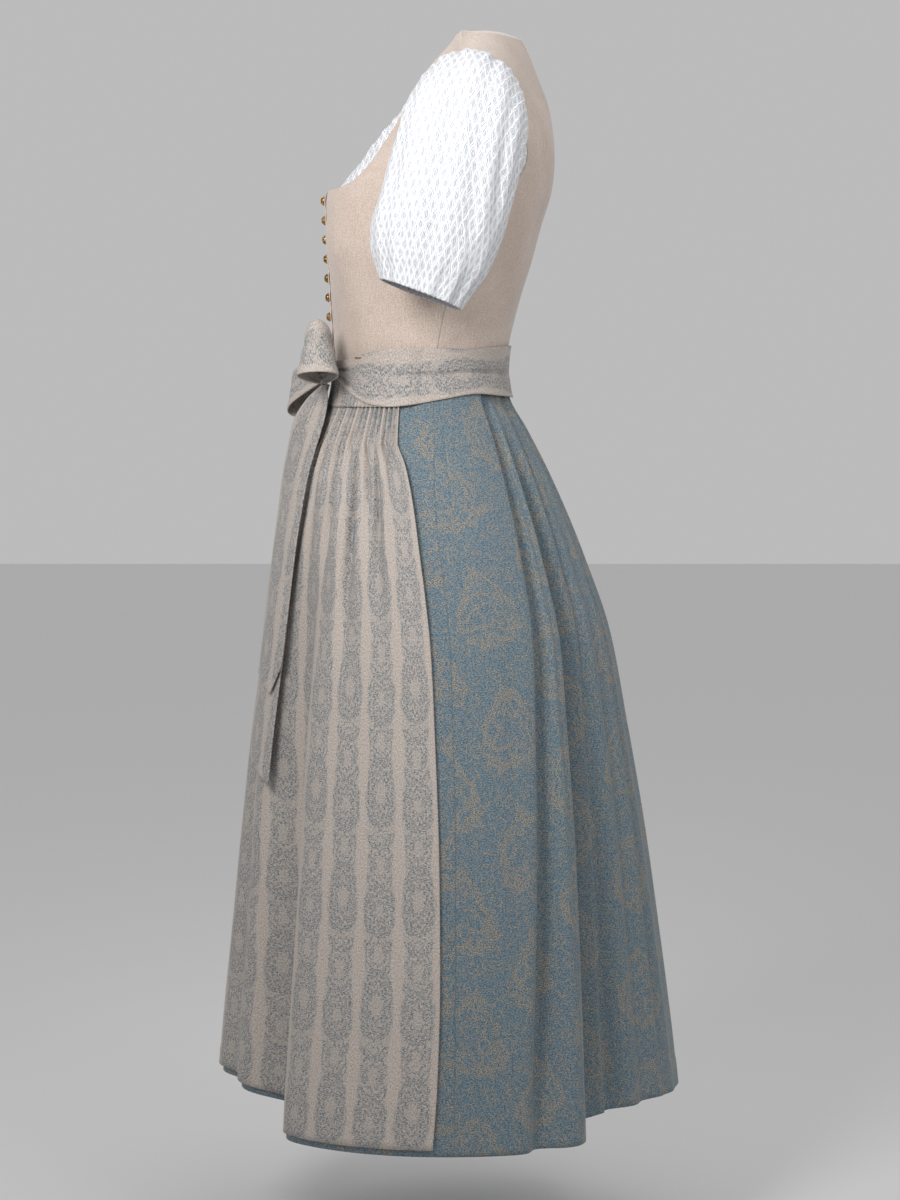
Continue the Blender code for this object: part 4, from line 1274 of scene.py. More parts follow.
@dataclass
class Bodice:
    """The wool bodice: two fronts with their straps, the back and the button band."""

    material: bpy.types.Material
    refine: int = 7
    neck: int = 8
    strap: int = 5
    under: int = 4
    low_rows: int = 8
    strap_rows: int = 7
    back_under: int = 4
    back_strap: int = 4
    back_half_neck: int = 6
    back_refine: int = 6

    def creases(self, angle: Array, height: Array) -> Array:
        """Soft drag lines: under the bust, beside the arm and at the waist.

        Args:
            angle: section angles in degrees.
            height: section heights.

        Returns:
            The depths.
        """
        depth = np.zeros(np.broadcast(angle, height).shape)
        for middle, level, wide, tall, deep in BODICE_CREASES:
            depth = depth + deep * hump(angle, middle, wide) * hump(height, level, tall)
        return depth

    def front_form(self, side: Side) -> Place:
        """Points of a front at column and row shares.

        Args:
            side: the wearer's side.

        Returns:
            The form.
        """
        columns = self.neck + self.strap + self.under
        rows = self.low_rows + self.strap_rows
        edge_gap = math.degrees(SEAM / BODY_RADIUS)

        def top(column: Array) -> tuple[Array, Array]:
            """Where the lower part ends in each column.

            Args:
                column: columns.

            Returns:
                The angles and the heights.
            """
            neck_share = np.minimum(column / self.neck, 1.0)
            neck = by_x(*read_path(NECKLINE[: NECK_CORNER + 1], neck_share))
            corner = by_x(*read_path(NECKLINE[NECK_CORNER:], np.zeros_like(column)))
            joint = armhole(ARMHOLE_FRONT, np.full_like(column, ARM_CORNER))
            strap = mix(corner, joint, np.clip((column - self.neck) / self.strap, 0.0, 1.0))
            under = armhole(ARMHOLE_FRONT, ARM_CORNER * (columns - column) / self.under)
            on_neck, on_strap = column <= self.neck, column <= self.neck + self.strap
            parts = zip(neck, strap, under)
            return tuple(np.where(on_neck, a, np.where(on_strap, b, c)) for a, b, c in parts)

        def place(across: Array, up: Array) -> Array:
            """Points of the left front.

            Args:
                across: column shares.
                up: row shares.

            Returns:
                The points.
            """
            column, row = across * columns, up * rows
            start = -90.0 + (BODICE_SIDE_ANGLE + 90.0) * across
            low = (start, np.full_like(start, WAIST + SEAM))
            lower = mix(low, top(column), np.minimum(row / self.low_rows, 1.0))
            rise = np.clip((row - self.low_rows) / self.strap_rows, 0.0, 1.0)
            inner = by_x(*read_path(NECKLINE[NECK_CORNER:], rise))
            outer = armhole(ARMHOLE_FRONT, ARM_CORNER + (1.0 - ARM_CORNER) * rise)
            upper = mix(inner, outer, np.clip((column - self.neck) / self.strap, 0.0, 1.0))
            below = row <= self.low_rows + 1e-6
            angle, height = (np.where(below, a, b) for a, b in zip(lower, upper))
            angle = angle + np.where(across <= 0.0, edge_gap, 0.0)
            angle = angle - np.where(across >= 1.0, edge_gap, 0.0)
            laid = torso(angle, height, -self.creases(angle, height))
            ridge = height > SHOULDER_RIDGE - RIDGE_REACH
            top_points = torso(angle, np.full_like(height, SHOULDER_RIDGE))
            top_points[..., 1] -= SEAM
            return np.where(ridge[..., None], top_points, laid)

        return place if side is Side.LEFT else mirror_points(place)

    def build_front(self, side: Side) -> None:
        """Lays one front.

        Args:
            side: the wearer's side.
        """
        columns = self.neck + self.strap + self.under
        rows = self.low_rows + self.strap_rows

        def keep(column: int, row: int) -> bool:
            """Tells the cells of the body and the strap.

            Args:
                column: number of the cell's column.
                row: number of its row.

            Returns:
                True for a cell to keep.
            """
            inner = column if side is Side.LEFT else columns * self.refine - 1 - column
            inside = self.neck * self.refine <= inner < (self.neck + self.strap) * self.refine
            return row < self.low_rows * self.refine or inside

        cloth = Cloth(f"bodice_front_{side.word}", columns * self.refine, rows * self.refine, WOOL,
                      self.material, "wool", keep=keep)
        piece = cloth.lay(self.front_form(side))
        declare(piece, (0.215, 0.400), Held.STRETCHED)

    def back_form(self, across: Array, up: Array) -> Array:
        """Points of the back at column and row shares.

        Args:
            across: column shares.
            up: row shares.

        Returns:
            The points.
        """
        under, strap, half_neck = self.back_under, self.back_strap, self.back_half_neck
        half_columns = under + strap + half_neck
        low_rows, high_rows = self.low_rows, self.strap_rows
        inner = np.minimum(across, 1.0 - across) * 2 * half_columns
        row = up * (low_rows + high_rows)
        high_mid = (90.0, -0.160)
        joint = armhole(ARMHOLE_BACK, np.full_like(inner, ARM_CORNER))
        across_body = (inner - under) / (half_columns - under)
        low = (BODICE_SIDE_ANGLE + (90.0 - BODICE_SIDE_ANGLE) * inner / half_columns,
               np.full_like(inner, WAIST + SEAM))
        at_arm = armhole(ARMHOLE_BACK, ARM_CORNER * np.clip(inner / under, 0.0, 1.0))
        at_body = mix(joint, high_mid, np.clip(across_body, 0.0, 1.0))
        high = tuple(np.where(inner <= under, a, b) for a, b in zip(at_arm, at_body))
        lower = mix(low, high, np.minimum(row / low_rows, 1.0))
        rise = np.clip((row - low_rows) / high_rows, 0.0, 1.0)
        reach = np.clip(across_body, 0.0, 1.0)
        edge = armhole(ARMHOLE_BACK, ARM_CORNER + (1.0 - ARM_CORNER) * rise)
        first = (np.degrees(np.arccos(STRAP_OUTER_X / read_table(TORSO, SHOULDER_RIDGE)[0])),
                 SHOULDER_RIDGE)
        straight = mix(joint, first, rise)
        top_column = inner - under
        on_strap = top_column <= strap
        x = STRAP_OUTER_X + (NECKLINE[-1][0] - STRAP_OUTER_X) * np.clip(top_column / strap, 0, 1)
        strap_angle = np.degrees(np.arccos(x / read_table(TORSO, SHOULDER_RIDGE)[0]))
        neck_share = np.clip((top_column - strap) / half_neck, 0.0, 1.0)
        neck = by_x(*read_path(BACK_NECK, neck_share), front=False)
        top = (np.where(on_strap, strap_angle, neck[0]),
               np.where(on_strap, SHOULDER_RIDGE, neck[1]))
        inside = mix(mix(joint, high_mid, reach), top, rise)
        bend = (1.0 - reach) ** 2
        upper = tuple(a + (b - c) * bend for a, b, c in zip(inside, edge, straight))
        below = row <= low_rows + 1e-6
        angle, height = (np.where(below, a, b) for a, b in zip(lower, upper))
        angle = angle + np.where(inner <= 1e-9, math.degrees(SEAM / BODY_RADIUS), 0.0)
        laid = torso(angle, height, -self.creases(angle, height))
        ridge = height > SHOULDER_RIDGE - RIDGE_REACH
        top_points = torso(angle, np.full_like(height, SHOULDER_RIDGE))
        top_points[..., 1] += SEAM
        laid = np.where(ridge[..., None], top_points, laid)
        laid[..., 0] *= np.where(across <= 0.5, 1.0, -1.0)
        return laid

    def build_back(self) -> None:
        """Lays the back."""
        fine, under = self.back_refine, self.back_under
        columns = 2 * (under + self.back_strap + self.back_half_neck)
        rows = self.low_rows + self.strap_rows

        def keep(column: int, row: int) -> bool:
            """Tells the cells of the body and between the straps' outer edges."""
            inside = under * fine <= column < (columns - under) * fine
            return row < self.low_rows * fine or inside

        cloth = Cloth("bodice_back", columns * fine, rows * fine, WOOL, self.material, "wool",
                      keep=keep)
        piece = cloth.lay(self.back_form)
        declare(piece, (0.400, 0.410), Held.STRETCHED)

    def build_band(self) -> None:
        """Lays the strip that carries the buttons."""

        def place(across: Array, up: Array) -> Array:
            """Points of the band, pulled a little at each button.

            Args:
                across: column shares.
                up: row shares.

            Returns:
                The points.
            """
            x = BAND_HALF_WIDTH * (across * 2.0 - 1.0)
            z = BAND_LOW + (NECKLINE[0][1] - 0.0005 - BAND_LOW) * up
            angle, height = by_x(x, z)
            between = np.cos((z - BUTTON_TOP_Z) / BUTTON_PITCH * 2.0 * np.pi)
            edge = np.abs(across * 2.0 - 1.0)
            pull = 0.0004 * between * edge
            return torso(angle, height, BAND_OUT + pull)

        cloth = Cloth("bodice_button_band", 12, 120, BAND_CLOTH, self.material, "wool")
        piece = cloth.lay(place)
        declare(piece, (2 * BAND_HALF_WIDTH, 0.190), Held.LAID)

    def build(self) -> None:
        """Builds all of it."""
        for side in Side:
            self.build_front(side)
        self.build_back()
        self.build_band()
        LOG.info("bodice built")


@dataclass
class Buttons:
    """Domed metal buttons with a beaded rim and a small rosette."""

    material: bpy.types.Material
    steps: int = 48

    def profile(self) -> list[tuple[float, float]]:
        """Radius and rise of the turned form, from the back to the dome's middle."""
        return [(BUTTON_RADIUS * radius, BUTTON_RISE * rise) for radius, rise in BUTTON_PROFILE]

    def build(self) -> None:
        """Builds each button on its seat."""
        for number in range(BUTTONS):
            z = BUTTON_TOP_Z - BUTTON_PITCH * number
            angle, height = by_x(0.0, z)
            seat = torso(angle, height, BAND_OUT + GAP)
            normal = Vector(seat - torso(angle, height)).normalized()
            builder = bmesh.new()
            verts = [builder.verts.new((radius, 0.0, rise)) for radius, rise in self.profile()]
            edges = [builder.edges.new(pair) for pair in zip(verts, verts[1:])]
            bmesh.ops.spin(builder, geom=verts + edges, cent=(0, 0, 0), axis=(0, 0, 1),
                           angle=math.tau, steps=self.steps, use_merge=True)
            bmesh.ops.remove_doubles(builder, verts=builder.verts, dist=0.00001)
            bmesh.ops.recalc_face_normals(builder, faces=builder.faces)
            for face in builder.faces:
                face.smooth = True
            for vert in builder.verts:
                radius = vert.co.xy.length / BUTTON_RADIUS
                turn = math.atan2(vert.co.y, vert.co.x)
                if vert.co.z > BUTTON_RISE * 0.6:
                    vert.co.z += 0.00022 * math.cos(8.0 * turn) * float(hump(radius, 0.5, 0.2))
            frame = normal.to_track_quat("Z", "Y").to_matrix().to_4x4()
            bmesh.ops.transform(builder, matrix=Matrix.Translation(Vector(seat)) @ frame,
                                verts=builder.verts)
            finish_piece(f"button_{number + 1}", builder, self.material)
        LOG.info("%d buttons built", BUTTONS)


@dataclass
class Blouse:
    """The lace blouse: the fronts in the neckline and the puff sleeves."""

    material: bpy.types.Material

    def front_form(self, across: Array, up: Array) -> Array:
        """Points of the left front.

        Args:
            across: column shares.
            up: row shares.

        Returns:
            The points.
        """
        neck_x, neck_z, under_x, under_z, neck_in = read_path(BLOUSE, across)
        down = 1.0 - up
        x, z = mix((neck_x, neck_z), (under_x, under_z), down)
        angle, height = by_x(x, z)
        gathers = 0.0006 * np.cos(across * 60.0) * up
        return torso(angle, height, -(WOOL + BLOUSE_EASE + neck_in * up) - gathers)

    def ring(self, level: int, turn: Array) -> Array:
        """Points of the left sleeve's ring: 0 is the armhole seam, and turn 90 the top.

        Args:
            level: number of the ring.
            turn: angles round the arm in degrees, 90 at the top.

        Returns:
            The points.
        """
        cos, sin = np.cos(np.radians(turn)), np.sin(np.radians(turn))
        if level == 0:
            middle = np.array((0.0, 0.001, -0.0925))
            shares = np.linspace(0.0, 1.0, 81)
            halves = [torso(*armhole(rows, shares)) for rows in (ARMHOLE_FRONT, ARMHOLE_BACK)]
            edge = np.concatenate(halves)
            rise = (edge[:, 2] - middle[2]) * RING_SQUASH
            away = np.degrees(np.arctan2(rise, edge[:, 1] - middle[1])) % 360
            order = np.argsort(away)
            found = np.stack([np.interp(turn % 360.0, away[order], edge[order, c], period=360.0)
                              for c in range(3)], axis=-1)
            inward = (middle - found) * np.array((0.0, 1.0, 1.0))
            return found + unit(inward) * (GAP + 0.0005) + np.array((0.0006, 0.0, 0.0))
        top_x, top_z, under_x, under_z, front_y, back_y, tilt = SLEEVE[level - 1]
        middle = np.array(((top_x + under_x) / 2, (front_y + back_y) / 2, (top_z + under_z) / 2))
        up = np.array((top_x - under_x, 0.0, top_z - under_z)) / 2
        back = np.array((0.0, (back_y - front_y) / 2, 0.0))
        laid = middle + up * sin[:, None] + back * cos[:, None]
        laid[:, 2] -= tilt * cos
        return laid

    def sleeve_form(self, across: Array, up: Array) -> Array:
        """Points of the left sleeve, rings joined by a smooth curve and gathered at both ends.

        Args:
            across: column shares.
            up: row shares.

        Returns:
            The points.
        """
        rings = len(SLEEVE)
        turn = 360.0 * (across % 1.0)
        stack = np.stack([self.ring(level, turn) for level in range(rings + 1)])
        place = up * rings
        low = np.clip(np.floor(place).astype(int), 0, rings - 1)
        share = (place - low)[:, None]
        index = np.arange(len(across))
        grids = [stack[np.clip(low + step, 0, rings), index] for step in (-1, 0, 1, 2)]
        laid = 0.5 * (
            2 * grids[1]
            + (grids[2] - grids[0]) * share
            + (2 * grids[0] - 5 * grids[1] + 4 * grids[2] - grids[3]) * share**2
            + (3 * grids[1] - grids[0] - 3 * grids[2] + grids[3]) * share**3
        )
        middle = laid.copy()
        level = stack.mean(axis=1)
        for axis in range(3):
            middle[:, axis] = np.interp(place, np.arange(rings + 1), level[:, axis])
        sin = np.sin(np.radians(turn))
        full = SLEEVE_FOLD_DEPTH * (0.35 + 0.65 * np.abs(np.cos(np.pi * (place - 1.0) / 9.0)))
        ripple = np.cos(np.radians(turn) * 2 * SLEEVE_FOLDS + 0.5 * np.sin(3.0 * np.radians(turn)))
        fine = np.cos(np.radians(turn) * 31.0 + 1.2 * np.sin(2.0 * np.radians(turn)))
        near_cap = hump(up, 0.10, 0.16) * smooth_step(-0.2, 0.5, sin)
        depth = full * smooth_step(-0.5, 0.3, sin) * (ripple - 1.0) * 0.5
        depth = depth * smooth_step(0.05, 0.55, up)
        depth = depth + 0.0012 * near_cap * (fine - 1.0) * smooth_step(0.02, 0.10, up)
        for at, level, run, deep, wide, tall in SLEEVE_CREASES:
            lean = at + run * (level - up)
            depth = depth - deep * hump(turned(turn - lean), 0.0, wide) * hump(up, level, tall)
        depth = depth - 0.0012 * hump(up, 0.93, 0.03) * (1.0 + 0.4 * fine)
        return laid + unit(laid - middle) * depth[:, None]

    def build(self) -> None:
        """Builds both fronts and both sleeves."""
        for side in Side:
            form = self.front_form if side is Side.LEFT else mirror_points(self.front_form)
            cloth = Cloth(f"blouse_front_{side.word}", 120, 24, LACE, self.material, "lace")
            declare(cloth.lay(form), (0.240, 0.050), Held.LAID)

            def sleeve(across: Array, up: Array, left: bool = side is Side.LEFT) -> Array:
                """Points of the left sleeve or of its mirror image.

                Args:
                    across: column shares.
                    up: row shares.
                    left: whether it is the left one.

                Returns:
                    The points.
                """
                if left:
                    return self.sleeve_form(across, up)
                return self.sleeve_form(0.5 - across, up) * np.array((-1.0, 1.0, 1.0))

            cloth = Cloth(f"blouse_sleeve_{side.word}", 204, 110, LACE, self.material, "lace",
                          Grain.SHARE, 0.460, closed=True)
            piece = cloth.lay(sleeve)
            declare(piece, (0.430, 0.215), Held.GATHERED)
        LOG.info("blouse built")


@dataclass
class Skirt:
    """The pleated jacquard skirt: two front and two back widths."""

    material: bpy.types.Material

    def fine_folds(self, angle: Array, z: Array) -> Array:
        """Small troughs added to the form: pleat edges near the waist and creases lower down.

        Args:
            angle: section angles in degrees.
            z: levels.

        Returns:
            The depths.
        """
        fall = np.clip((WAIST - z) / (WAIST - SKIRT_HEM), 0.0, 1.0)
        depth = np.zeros(np.broadcast(angle, z).shape)
        for waist_angle, hem_angle, deep, ahead, behind, low, high in SKIRT_CREASES:
            middle = waist_angle + (hem_angle - waist_angle) * fall**0.7
            away = turned(angle - middle)
            width = np.where(away < 0, ahead, behind)
            lasting = smooth_step(low, low + 0.14, fall)
            lasting = lasting * (1.0 - smooth_step(high - 0.3, high, fall))
            depth = depth + deep * lasting * np.exp(-((away / width) ** 2))
        return depth - hem_step(SKIRT_TURN_Z, z)

    def form(self, start: Callable[[Array], Array], end: Callable[[Array], Array]) -> Place:
        """Points of a width between two seams, from the hem up.

        Args:
            start: angle of the first seam by level.
            end: angle of the last seam by level.

        Returns:
            The form.
        """
        overlap = math.degrees(SEAM / SKIRT_RADIUS)

        def place(across: Array, up: Array) -> Array:
            """Points of the width.

            Args:
                across: column shares.
                up: row shares.

            Returns:
                The points.
            """
            low_angle = start(SKIRT_HEM) + (end(SKIRT_HEM) - start(SKIRT_HEM)) * across
            low = hem_height(SKIRT_HEM, low_angle)
            z = low + (WAIST - SEAM - low) * up
            first, last = start(z) - overlap, end(z) + overlap
            angle = first + (last - first) * across
            return skirt(angle, z, -self.fine_folds(angle, z))

        return place

    def build(self) -> None:
        """Builds the four widths."""

        def seam(z: Array) -> Array:
            """Angle of the left side seam."""
            return read_table(SIDE_SEAM, z)[0]

        def right_seam(z: Array) -> Array:
            """Angle of the right side seam, from the front."""
            return -180.0 - seam(z)

        def far_seam(z: Array) -> Array:
            """Angle of the right side seam, from the back."""
            return 180.0 - seam(z)

        def back(z: Array) -> Array:
            """Angle of the centre back."""
            return np.full(np.shape(z), 90.0)

        def front(z: Array) -> Array:
            """Angle of the centre front."""
            return np.full(np.shape(z), -90.0)

        for name, start, end, columns, width, area in (
            ("skirt_front_left", front, seam, 150, 0.500, 0.310),
            ("skirt_front_right", right_seam, front, 120, 0.500, 0.310),
            ("skirt_back_left", seam, back, 170, 0.500, 0.300),
            ("skirt_back_right", back, far_seam, 170, 0.500, 0.300),
        ):
            cloth = Cloth(name, columns, 120, SKIRT_CLOTH, self.material, "skirt")
            piece = cloth.lay(self.form(start, end))
            declare(piece, (width, 0.850), Held.HUNG)
        LOG.info("skirt built")


@dataclass
class Apron:
    """The gauged apron with its waistband."""

    material: bpy.types.Material
    width: float = 0.800

    def form(self, across: Array, up: Array) -> Array:
        """Points of the panel, from the hem up.

        Args:
            across: column shares.
            up: row shares.

        Returns:
            The points.
        """
        left, right = apron_edges(np.full_like(across, APRON_HEM))
        low = hem_height(APRON_HEM, right + (left - right) * across)
        z = low + (APRON_TOP - low) * up
        return apron_form(across, z, self.creases(across, z))

    def creases(self, across: Array, z: Array) -> Array:
        """Lasting valleys under the gathers and soft hollows lower down, negative inwards.

        Args:
            across: column shares.
            z: levels.

        Returns:
            The depths.
        """
        depth = np.zeros_like(across)
        for high_at, low_at, top, end, deep, wide in APRON_CREASES:
            fall = np.clip((top - z) / (top - end), 0.0, 1.0)
            middle = high_at + (low_at - high_at) * fall
            lasting = smooth_step(0.0, 0.08, fall) * (1.0 - smooth_step(0.35, 1.0, fall))
            spread = wide * (0.55 + 1.1 * fall)
            trough = hump(across, middle, spread)
            beside = 2.0 * spread
            crest = hump(across, middle - beside, spread) + hump(across, middle + beside, spread)
            depth = depth + deep * lasting * (0.42 * crest - 0.62 * trough)
        pleat = np.abs(np.sin(np.pi * HEADER_PLEATS * across))
        header = smooth_step(RELEASE_END + 0.03, HEADER_LOW, z)
        header = header * smooth_step(0.0, 0.02, 1.0 - across)
        depth = depth - 0.0026 * header * hump(pleat, 1.0, 0.30)
        return np.maximum(depth, -APRON_DEEPEST) + hem_step(APRON_TURN_Z, z)

    def build(self) -> None:
        """Builds the panel and the waistband."""
        cloth = Cloth("apron_panel", 400, 110, APRON_CLOTH, self.material, "apron", Grain.SHARE,
                      self.width)
        declare(cloth.lay(self.form), (self.width, 0.860), Held.GATHERED)

        def band(across: Array, up: Array) -> Array:
            """Points of the waistband, over the gauged pleats.

            Args:
                across: column shares.
                up: row shares.

            Returns:
                The points.
            """
            left, right = apron_edges(np.full_like(across, WAISTBAND_TOP))
            z = WAISTBAND_LOW + (WAISTBAND_TOP - WAISTBAND_LOW) * up
            pleat = hump(np.abs(np.sin(np.pi * HEADER_PLEATS * across)), 1.0, 0.30)
            out = WAISTBAND_OUT - 0.0011 * pleat * smooth_step(0.0, 0.03, 1.0 - across)
            return waist_form(right + (left - right) * across, z, out)

        cloth = Cloth("apron_waistband", 400, 12, WAISTBAND_CLOTH, self.material, "apron",
                      Grain.SHARE, 0.340)
        declare(cloth.lay(band), (0.340, 0.050), Held.LAID)
        LOG.info("apron built")


@dataclass(frozen=True)
class Loop:
    """One loop of the bow and where it points."""

    name: str
    side: Side
    reach: tuple[float, float, float]
    start_drop: float
    length: float
    thickness: float
    end_width: float

    def form(self, across: Array, up: Array) -> Array:
        """Points of the band: out from the knot, round and back.

        Args:
            across: column shares.
            up: row shares.

        Returns:
            The points.
        """
        reach = unit(np.array(self.reach))
        forward = np.array((0.0, -1.0, 0.0))
        forward = unit(forward - reach * forward.dot(reach))
        upright = np.cross(reach, forward)
        upright = upright if upright[2] > 0 else -upright
        beside = self.side.value * (KNOT_SIZE[0] + KNOT_CLEARANCE[self.side])
        start = KNOT + np.array((beside, 0.0, self.start_drop))
        turn = 2.0 * np.pi * (0.03 + 0.94 * across)
        far = (1.0 - np.cos(turn)) / 2
        bulge = self.thickness * 0.62 * np.sin(turn) * (0.35 + 0.65 * far)
        bulge = bulge * (1.0 - LOOP_FLARE * (up - 0.5) * far)
        width = LOOP_KNOT_WIDTH + (self.end_width - LOOP_KNOT_WIDTH) * far**0.8
        near_knot = 1.0 - far
        pleat = 0.0022 * near_knot * np.cos((up - 0.5) * 16.0)
        crease = 0.0012 * hump(up, 0.62, 0.09) * hump(far, 0.6, 0.3)
        out = bulge + np.sign(np.sin(turn)) * (pleat - crease)
        return (start + reach * (self.length * far)[:, None] + forward * out[:, None]
                + upright * (width * (up - 0.5))[:, None])


@dataclass
class Tie:
    """The tie round the waist, its bow and its hanging ends."""

    material: bpy.types.Material
    upright: bpy.types.Material

    def creases(self, angle: Array, up: Array) -> Array:
        """Long folds from the knot round the side, where the band lies double.

        Args:
            angle: section angles in degrees.
            up: row shares.

        Returns:
            The depths.
        """
        away = np.abs(angle + 75.0)
        depth = np.zeros_like(angle)
        for start, end, first, last, deep, wide in TIE_CREASES:
            share = np.clip((away - start) / (end - start), 0.0, 1.0)
            lasting = smooth_step(start - 4.0, start + 8.0, away)
            lasting = lasting * (1.0 - smooth_step(end - 20.0, end, away))
            depth = depth + deep * lasting * hump(up, first + (last - first) * share, wide)
        return depth

    def sash(self, name: str, first: float, last: float) -> None:
        """Lays half of the band round the waist, between two angles.

        Args:
            name: the solid's name.
            first: section angle where it starts.
            last: section angle where it ends.
        """

        def place(across: Array, up: Array) -> Array:
            """Points of the band.

            Args:
                across: column shares.
                up: row shares.

            Returns:
                The points.
            """
            angle = first + (last - first) * across
            top_z, low_z = read_table(SASH, np.where(angle > -90.0, angle, -180.0 - angle))
            z = low_z + (top_z - low_z) * up
            return waist_form(angle, z, sash_out(angle) - self.creases(angle, up))

        cloth = Cloth(name, 200, 26, TIE_CLOTH, self.material, "apron")
        length = 0.345 if "left" in name else 0.385
        declare(cloth.lay(place), (length, 0.056), Held.STRETCHED)

    def knot(self) -> None:
        """Builds the knot as a pinched pad with folds."""
        builder = bmesh.new()
        bmesh.ops.create_uvsphere(builder, u_segments=64, v_segments=40, radius=1.0)
        layer = builder.loops.layers.uv.new("cloth")
        for face in builder.faces:
            face.smooth = True
            for loop in face.loops:
                spot = loop.vert.co
                loop[layer].uv = (math.atan2(spot.x, -spot.y) * 0.012, spot.z * 0.018)
        for vert in builder.verts:
            spot = vert.co.copy()
            pinch = 1.0 - 0.10 * math.cos(3.0 * math.atan2(spot.x, -spot.y)) * (1.0 - spot.z**2)
            fold = 1.0 - 0.05 * math.cos(spot.x * 9.0 + 2.0) * (1.0 - spot.z**2)
            vert.co = Vector((spot.x * KNOT_SIZE[0] * pinch + KNOT[0],
                              spot.y * KNOT_SIZE[1] * pinch * fold + KNOT[1],
                              spot.z * KNOT_SIZE[2] + KNOT[2]))
        piece = finish_piece("bow_knot", builder, self.upright)

    def tail(self, name: str, rows: tuple, ends: tuple[float, ...], length: float) -> None:
        """Lays a hanging end with its slanted cut.

        Args:
            name: the solid's name.
            rows: its table of levels.
            ends: how far its cut rises across its width.
            length: its flat length.
        """
        top, low = rows[0][0], rows[-1][0]

        def place(across: Array, up: Array) -> Array:
            """Points of the end, gathered towards the knot.

            Args:
                across: column shares.
                up: row shares.

            Returns:
                The points.
            """
            over = across * 2.0 - 1.0
            end = np.interp(across, np.linspace(0.0, 1.0, len(ends)), ends)
            z = low + end + (top - low - end) * up
            angle, half_width, stand_off, lean = read_table(rows, z)
            centre = skirt_centre(z)
            radius = np.linalg.norm(skirt_base(angle, z) - centre, axis=-1)
            base = skirt_base(angle + np.degrees(half_width * over / (radius + stand_off)), z)
            ripple = TAIL_RIPPLE * (np.sin(2.2 * over + 1.0) + 1.0)
            gathered = smooth_step(top - 0.10, top, z)
            folds = 0.0012 * gathered * np.cos(over * 7.0)
            crease = 0.0010 * hump(over, 0.15, 0.12) * smooth_step(top - 0.25, top - 0.05, z)
            out = stand_off - lean * over + ripple + folds - crease
            return base + unit(base - centre) * out[:, None]

        cloth = Cloth(name, 40, 150, TIE_CLOTH, self.upright, "apron", Grain.SHARE, 0.066)
        declare(cloth.lay(place), (0.066, length), Held.HUNG)

    def build(self) -> None:
        """Builds the band, the bow and the ends."""
        self.sash("sash_left", SASH_CENTRE + 0.3, 89.9)
        self.sash("sash_right", -269.9, SASH_CENTRE - 0.3)
        self.knot()
        for loop in (
            Loop("bow_loop_left", Side.LEFT, (0.84, -0.06, 0.42), -0.005, 0.072, 0.040, 0.064),
            Loop("bow_loop_right", Side.RIGHT, (-0.82, -0.46, -0.35), -0.002, 0.074, 0.028, 0.052),
        ):
            cloth = Cloth(loop.name, 140, 28, TIE_CLOTH, self.material, "apron")
            declare(cloth.lay(loop.form), (0.165, 0.050), Held.FOLDED)
        self.tail("bow_tail_upper", TAIL_UPPER, (0.019, 0.013, 0.006, 0.0, 0.031), 0.340)
        self.tail("bow_tail_lower", TAIL_LOWER, (0.024, 0.018, 0.012, 0.006, 0.0), 0.435)
        LOG.info("tie and bow built")


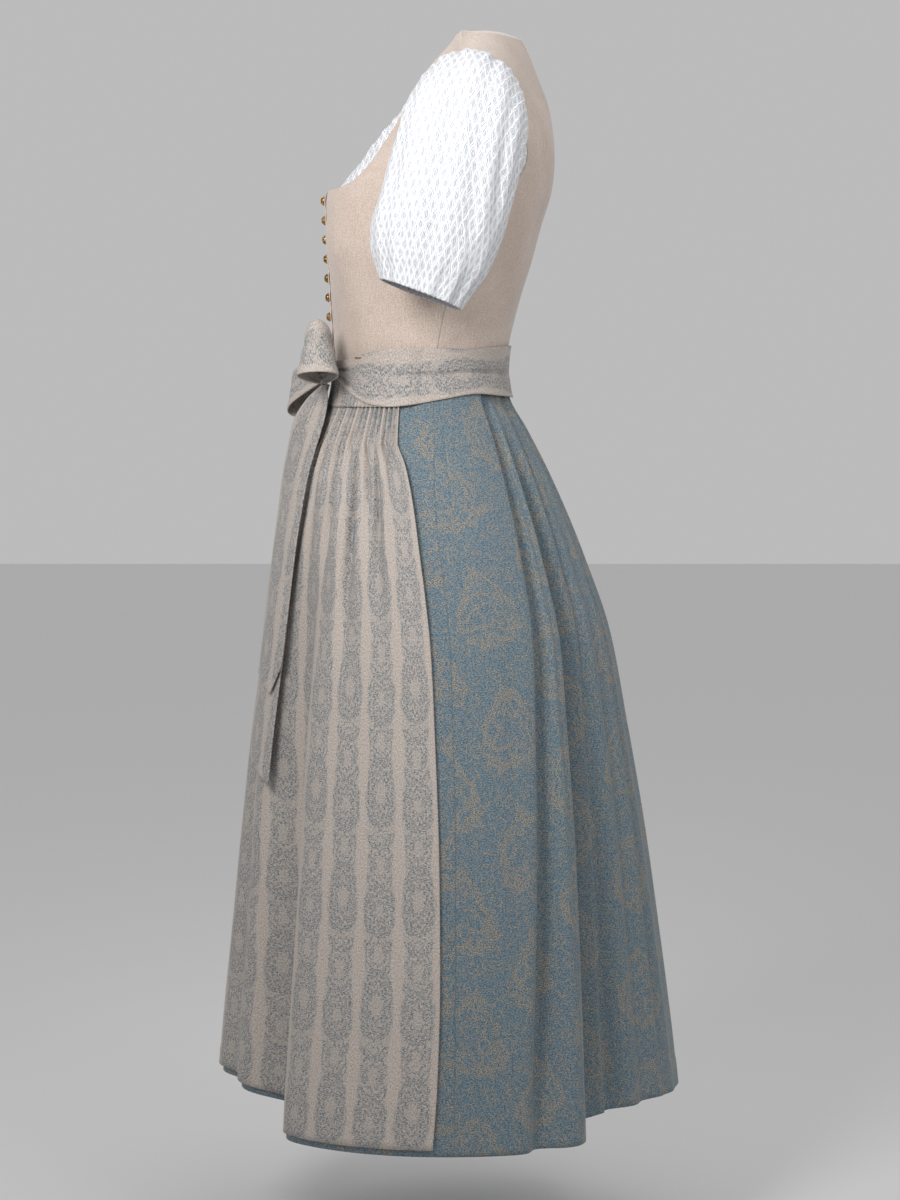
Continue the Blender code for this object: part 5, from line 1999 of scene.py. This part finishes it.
@dataclass
class Studio:
    """Floor, light and camera."""

    floor_z: float = -1.35
    floor_size: float = 14.0
    floor_tone: float = 0.8
    floor_roughness: float = 0.9
    backdrop_strength: float = 0.50
    lamp_spread: float = math.radians(105.0)

    def build(self) -> None:
        """Sets up the studio."""
        builder = bmesh.new()
        bmesh.ops.create_grid(builder, x_segments=1, y_segments=1, size=self.floor_size)
        bmesh.ops.translate(builder, vec=(0.0, 0.0, self.floor_z), verts=builder.verts)
        mesh = bpy.data.meshes.new("floor")
        builder.to_mesh(mesh)
        builder.free()
        floor = bpy.data.objects.new("floor", mesh)
        bpy.context.scene.collection.objects.link(floor)
        graph = Graph("floor")
        tone = (self.floor_tone, self.floor_tone, self.floor_tone, 1.0)
        mesh.materials.append(graph.finish(tone, self.floor_roughness, 0.0))
        world = bpy.context.scene.world or bpy.data.worlds.new("studio")
        bpy.context.scene.world = world
        world.use_nodes = True
        backdrop = world.node_tree.nodes["Background"]
        backdrop.inputs["Color"].default_value = (1.0, 1.0, 1.0, 1.0)
        backdrop.inputs["Strength"].default_value = self.backdrop_strength
        for name, place, aim, size, power in LAMPS:
            lamp = bpy.data.lights.new(name, "AREA")
            lamp.size = size
            lamp.spread = self.lamp_spread
            lamp.energy = power
            holder = bpy.data.objects.new(name, lamp)
            holder.location = place
            way = Vector(aim) - Vector(place)
            holder.rotation_euler = way.to_track_quat("-Z", "Y").to_euler()
            bpy.context.scene.collection.objects.link(holder)
        camera = bpy.data.cameras.new("camera")
        camera.lens = CAMERA_LENS
        camera.sensor_width = 36.0
        holder = bpy.data.objects.new("camera", camera)
        holder.location = CAMERA_PLACE
        holder.rotation_euler = (math.pi / 2 - CAMERA_PITCH, 0.0, math.pi / 2)
        bpy.context.scene.collection.objects.link(holder)
        bpy.context.scene.camera = holder
        bpy.context.scene.view_settings.view_transform = "Standard"
        LOG.info("studio built")


def dress_pin(metal: bpy.types.Material) -> None:
    """Gives the pin's solid, which stays as it is, its metal."""
    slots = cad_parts["apron_pin"].data.materials
    slots.clear()
    slots.append(metal)


def main() -> None:
    """Builds every sub-assembly in order."""
    logging.basicConfig(level=logging.INFO, format="%(message)s")
    wool = WoolFinish().build()
    blue = SkirtFinish().build()
    stripes = StripeFinish("apron_jacquard").build()
    turned_stripes = StripeFinish("tie_jacquard", turned=True).build()
    lace = LaceFinish().build()
    bronze = BronzeFinish("bronze").build()
    gilt = BronzeFinish("gilt", linear(255, 226, 170), linear(214, 166, 98)).build()
    Bodice(wool).build()
    Buttons(bronze).build()
    Blouse(lace).build()
    Skirt(blue).build()
    Apron(stripes).build()
    Tie(turned_stripes, stripes).build()
    dress_pin(gilt)
    Studio().build()


if __name__ == "__main__":
    main()
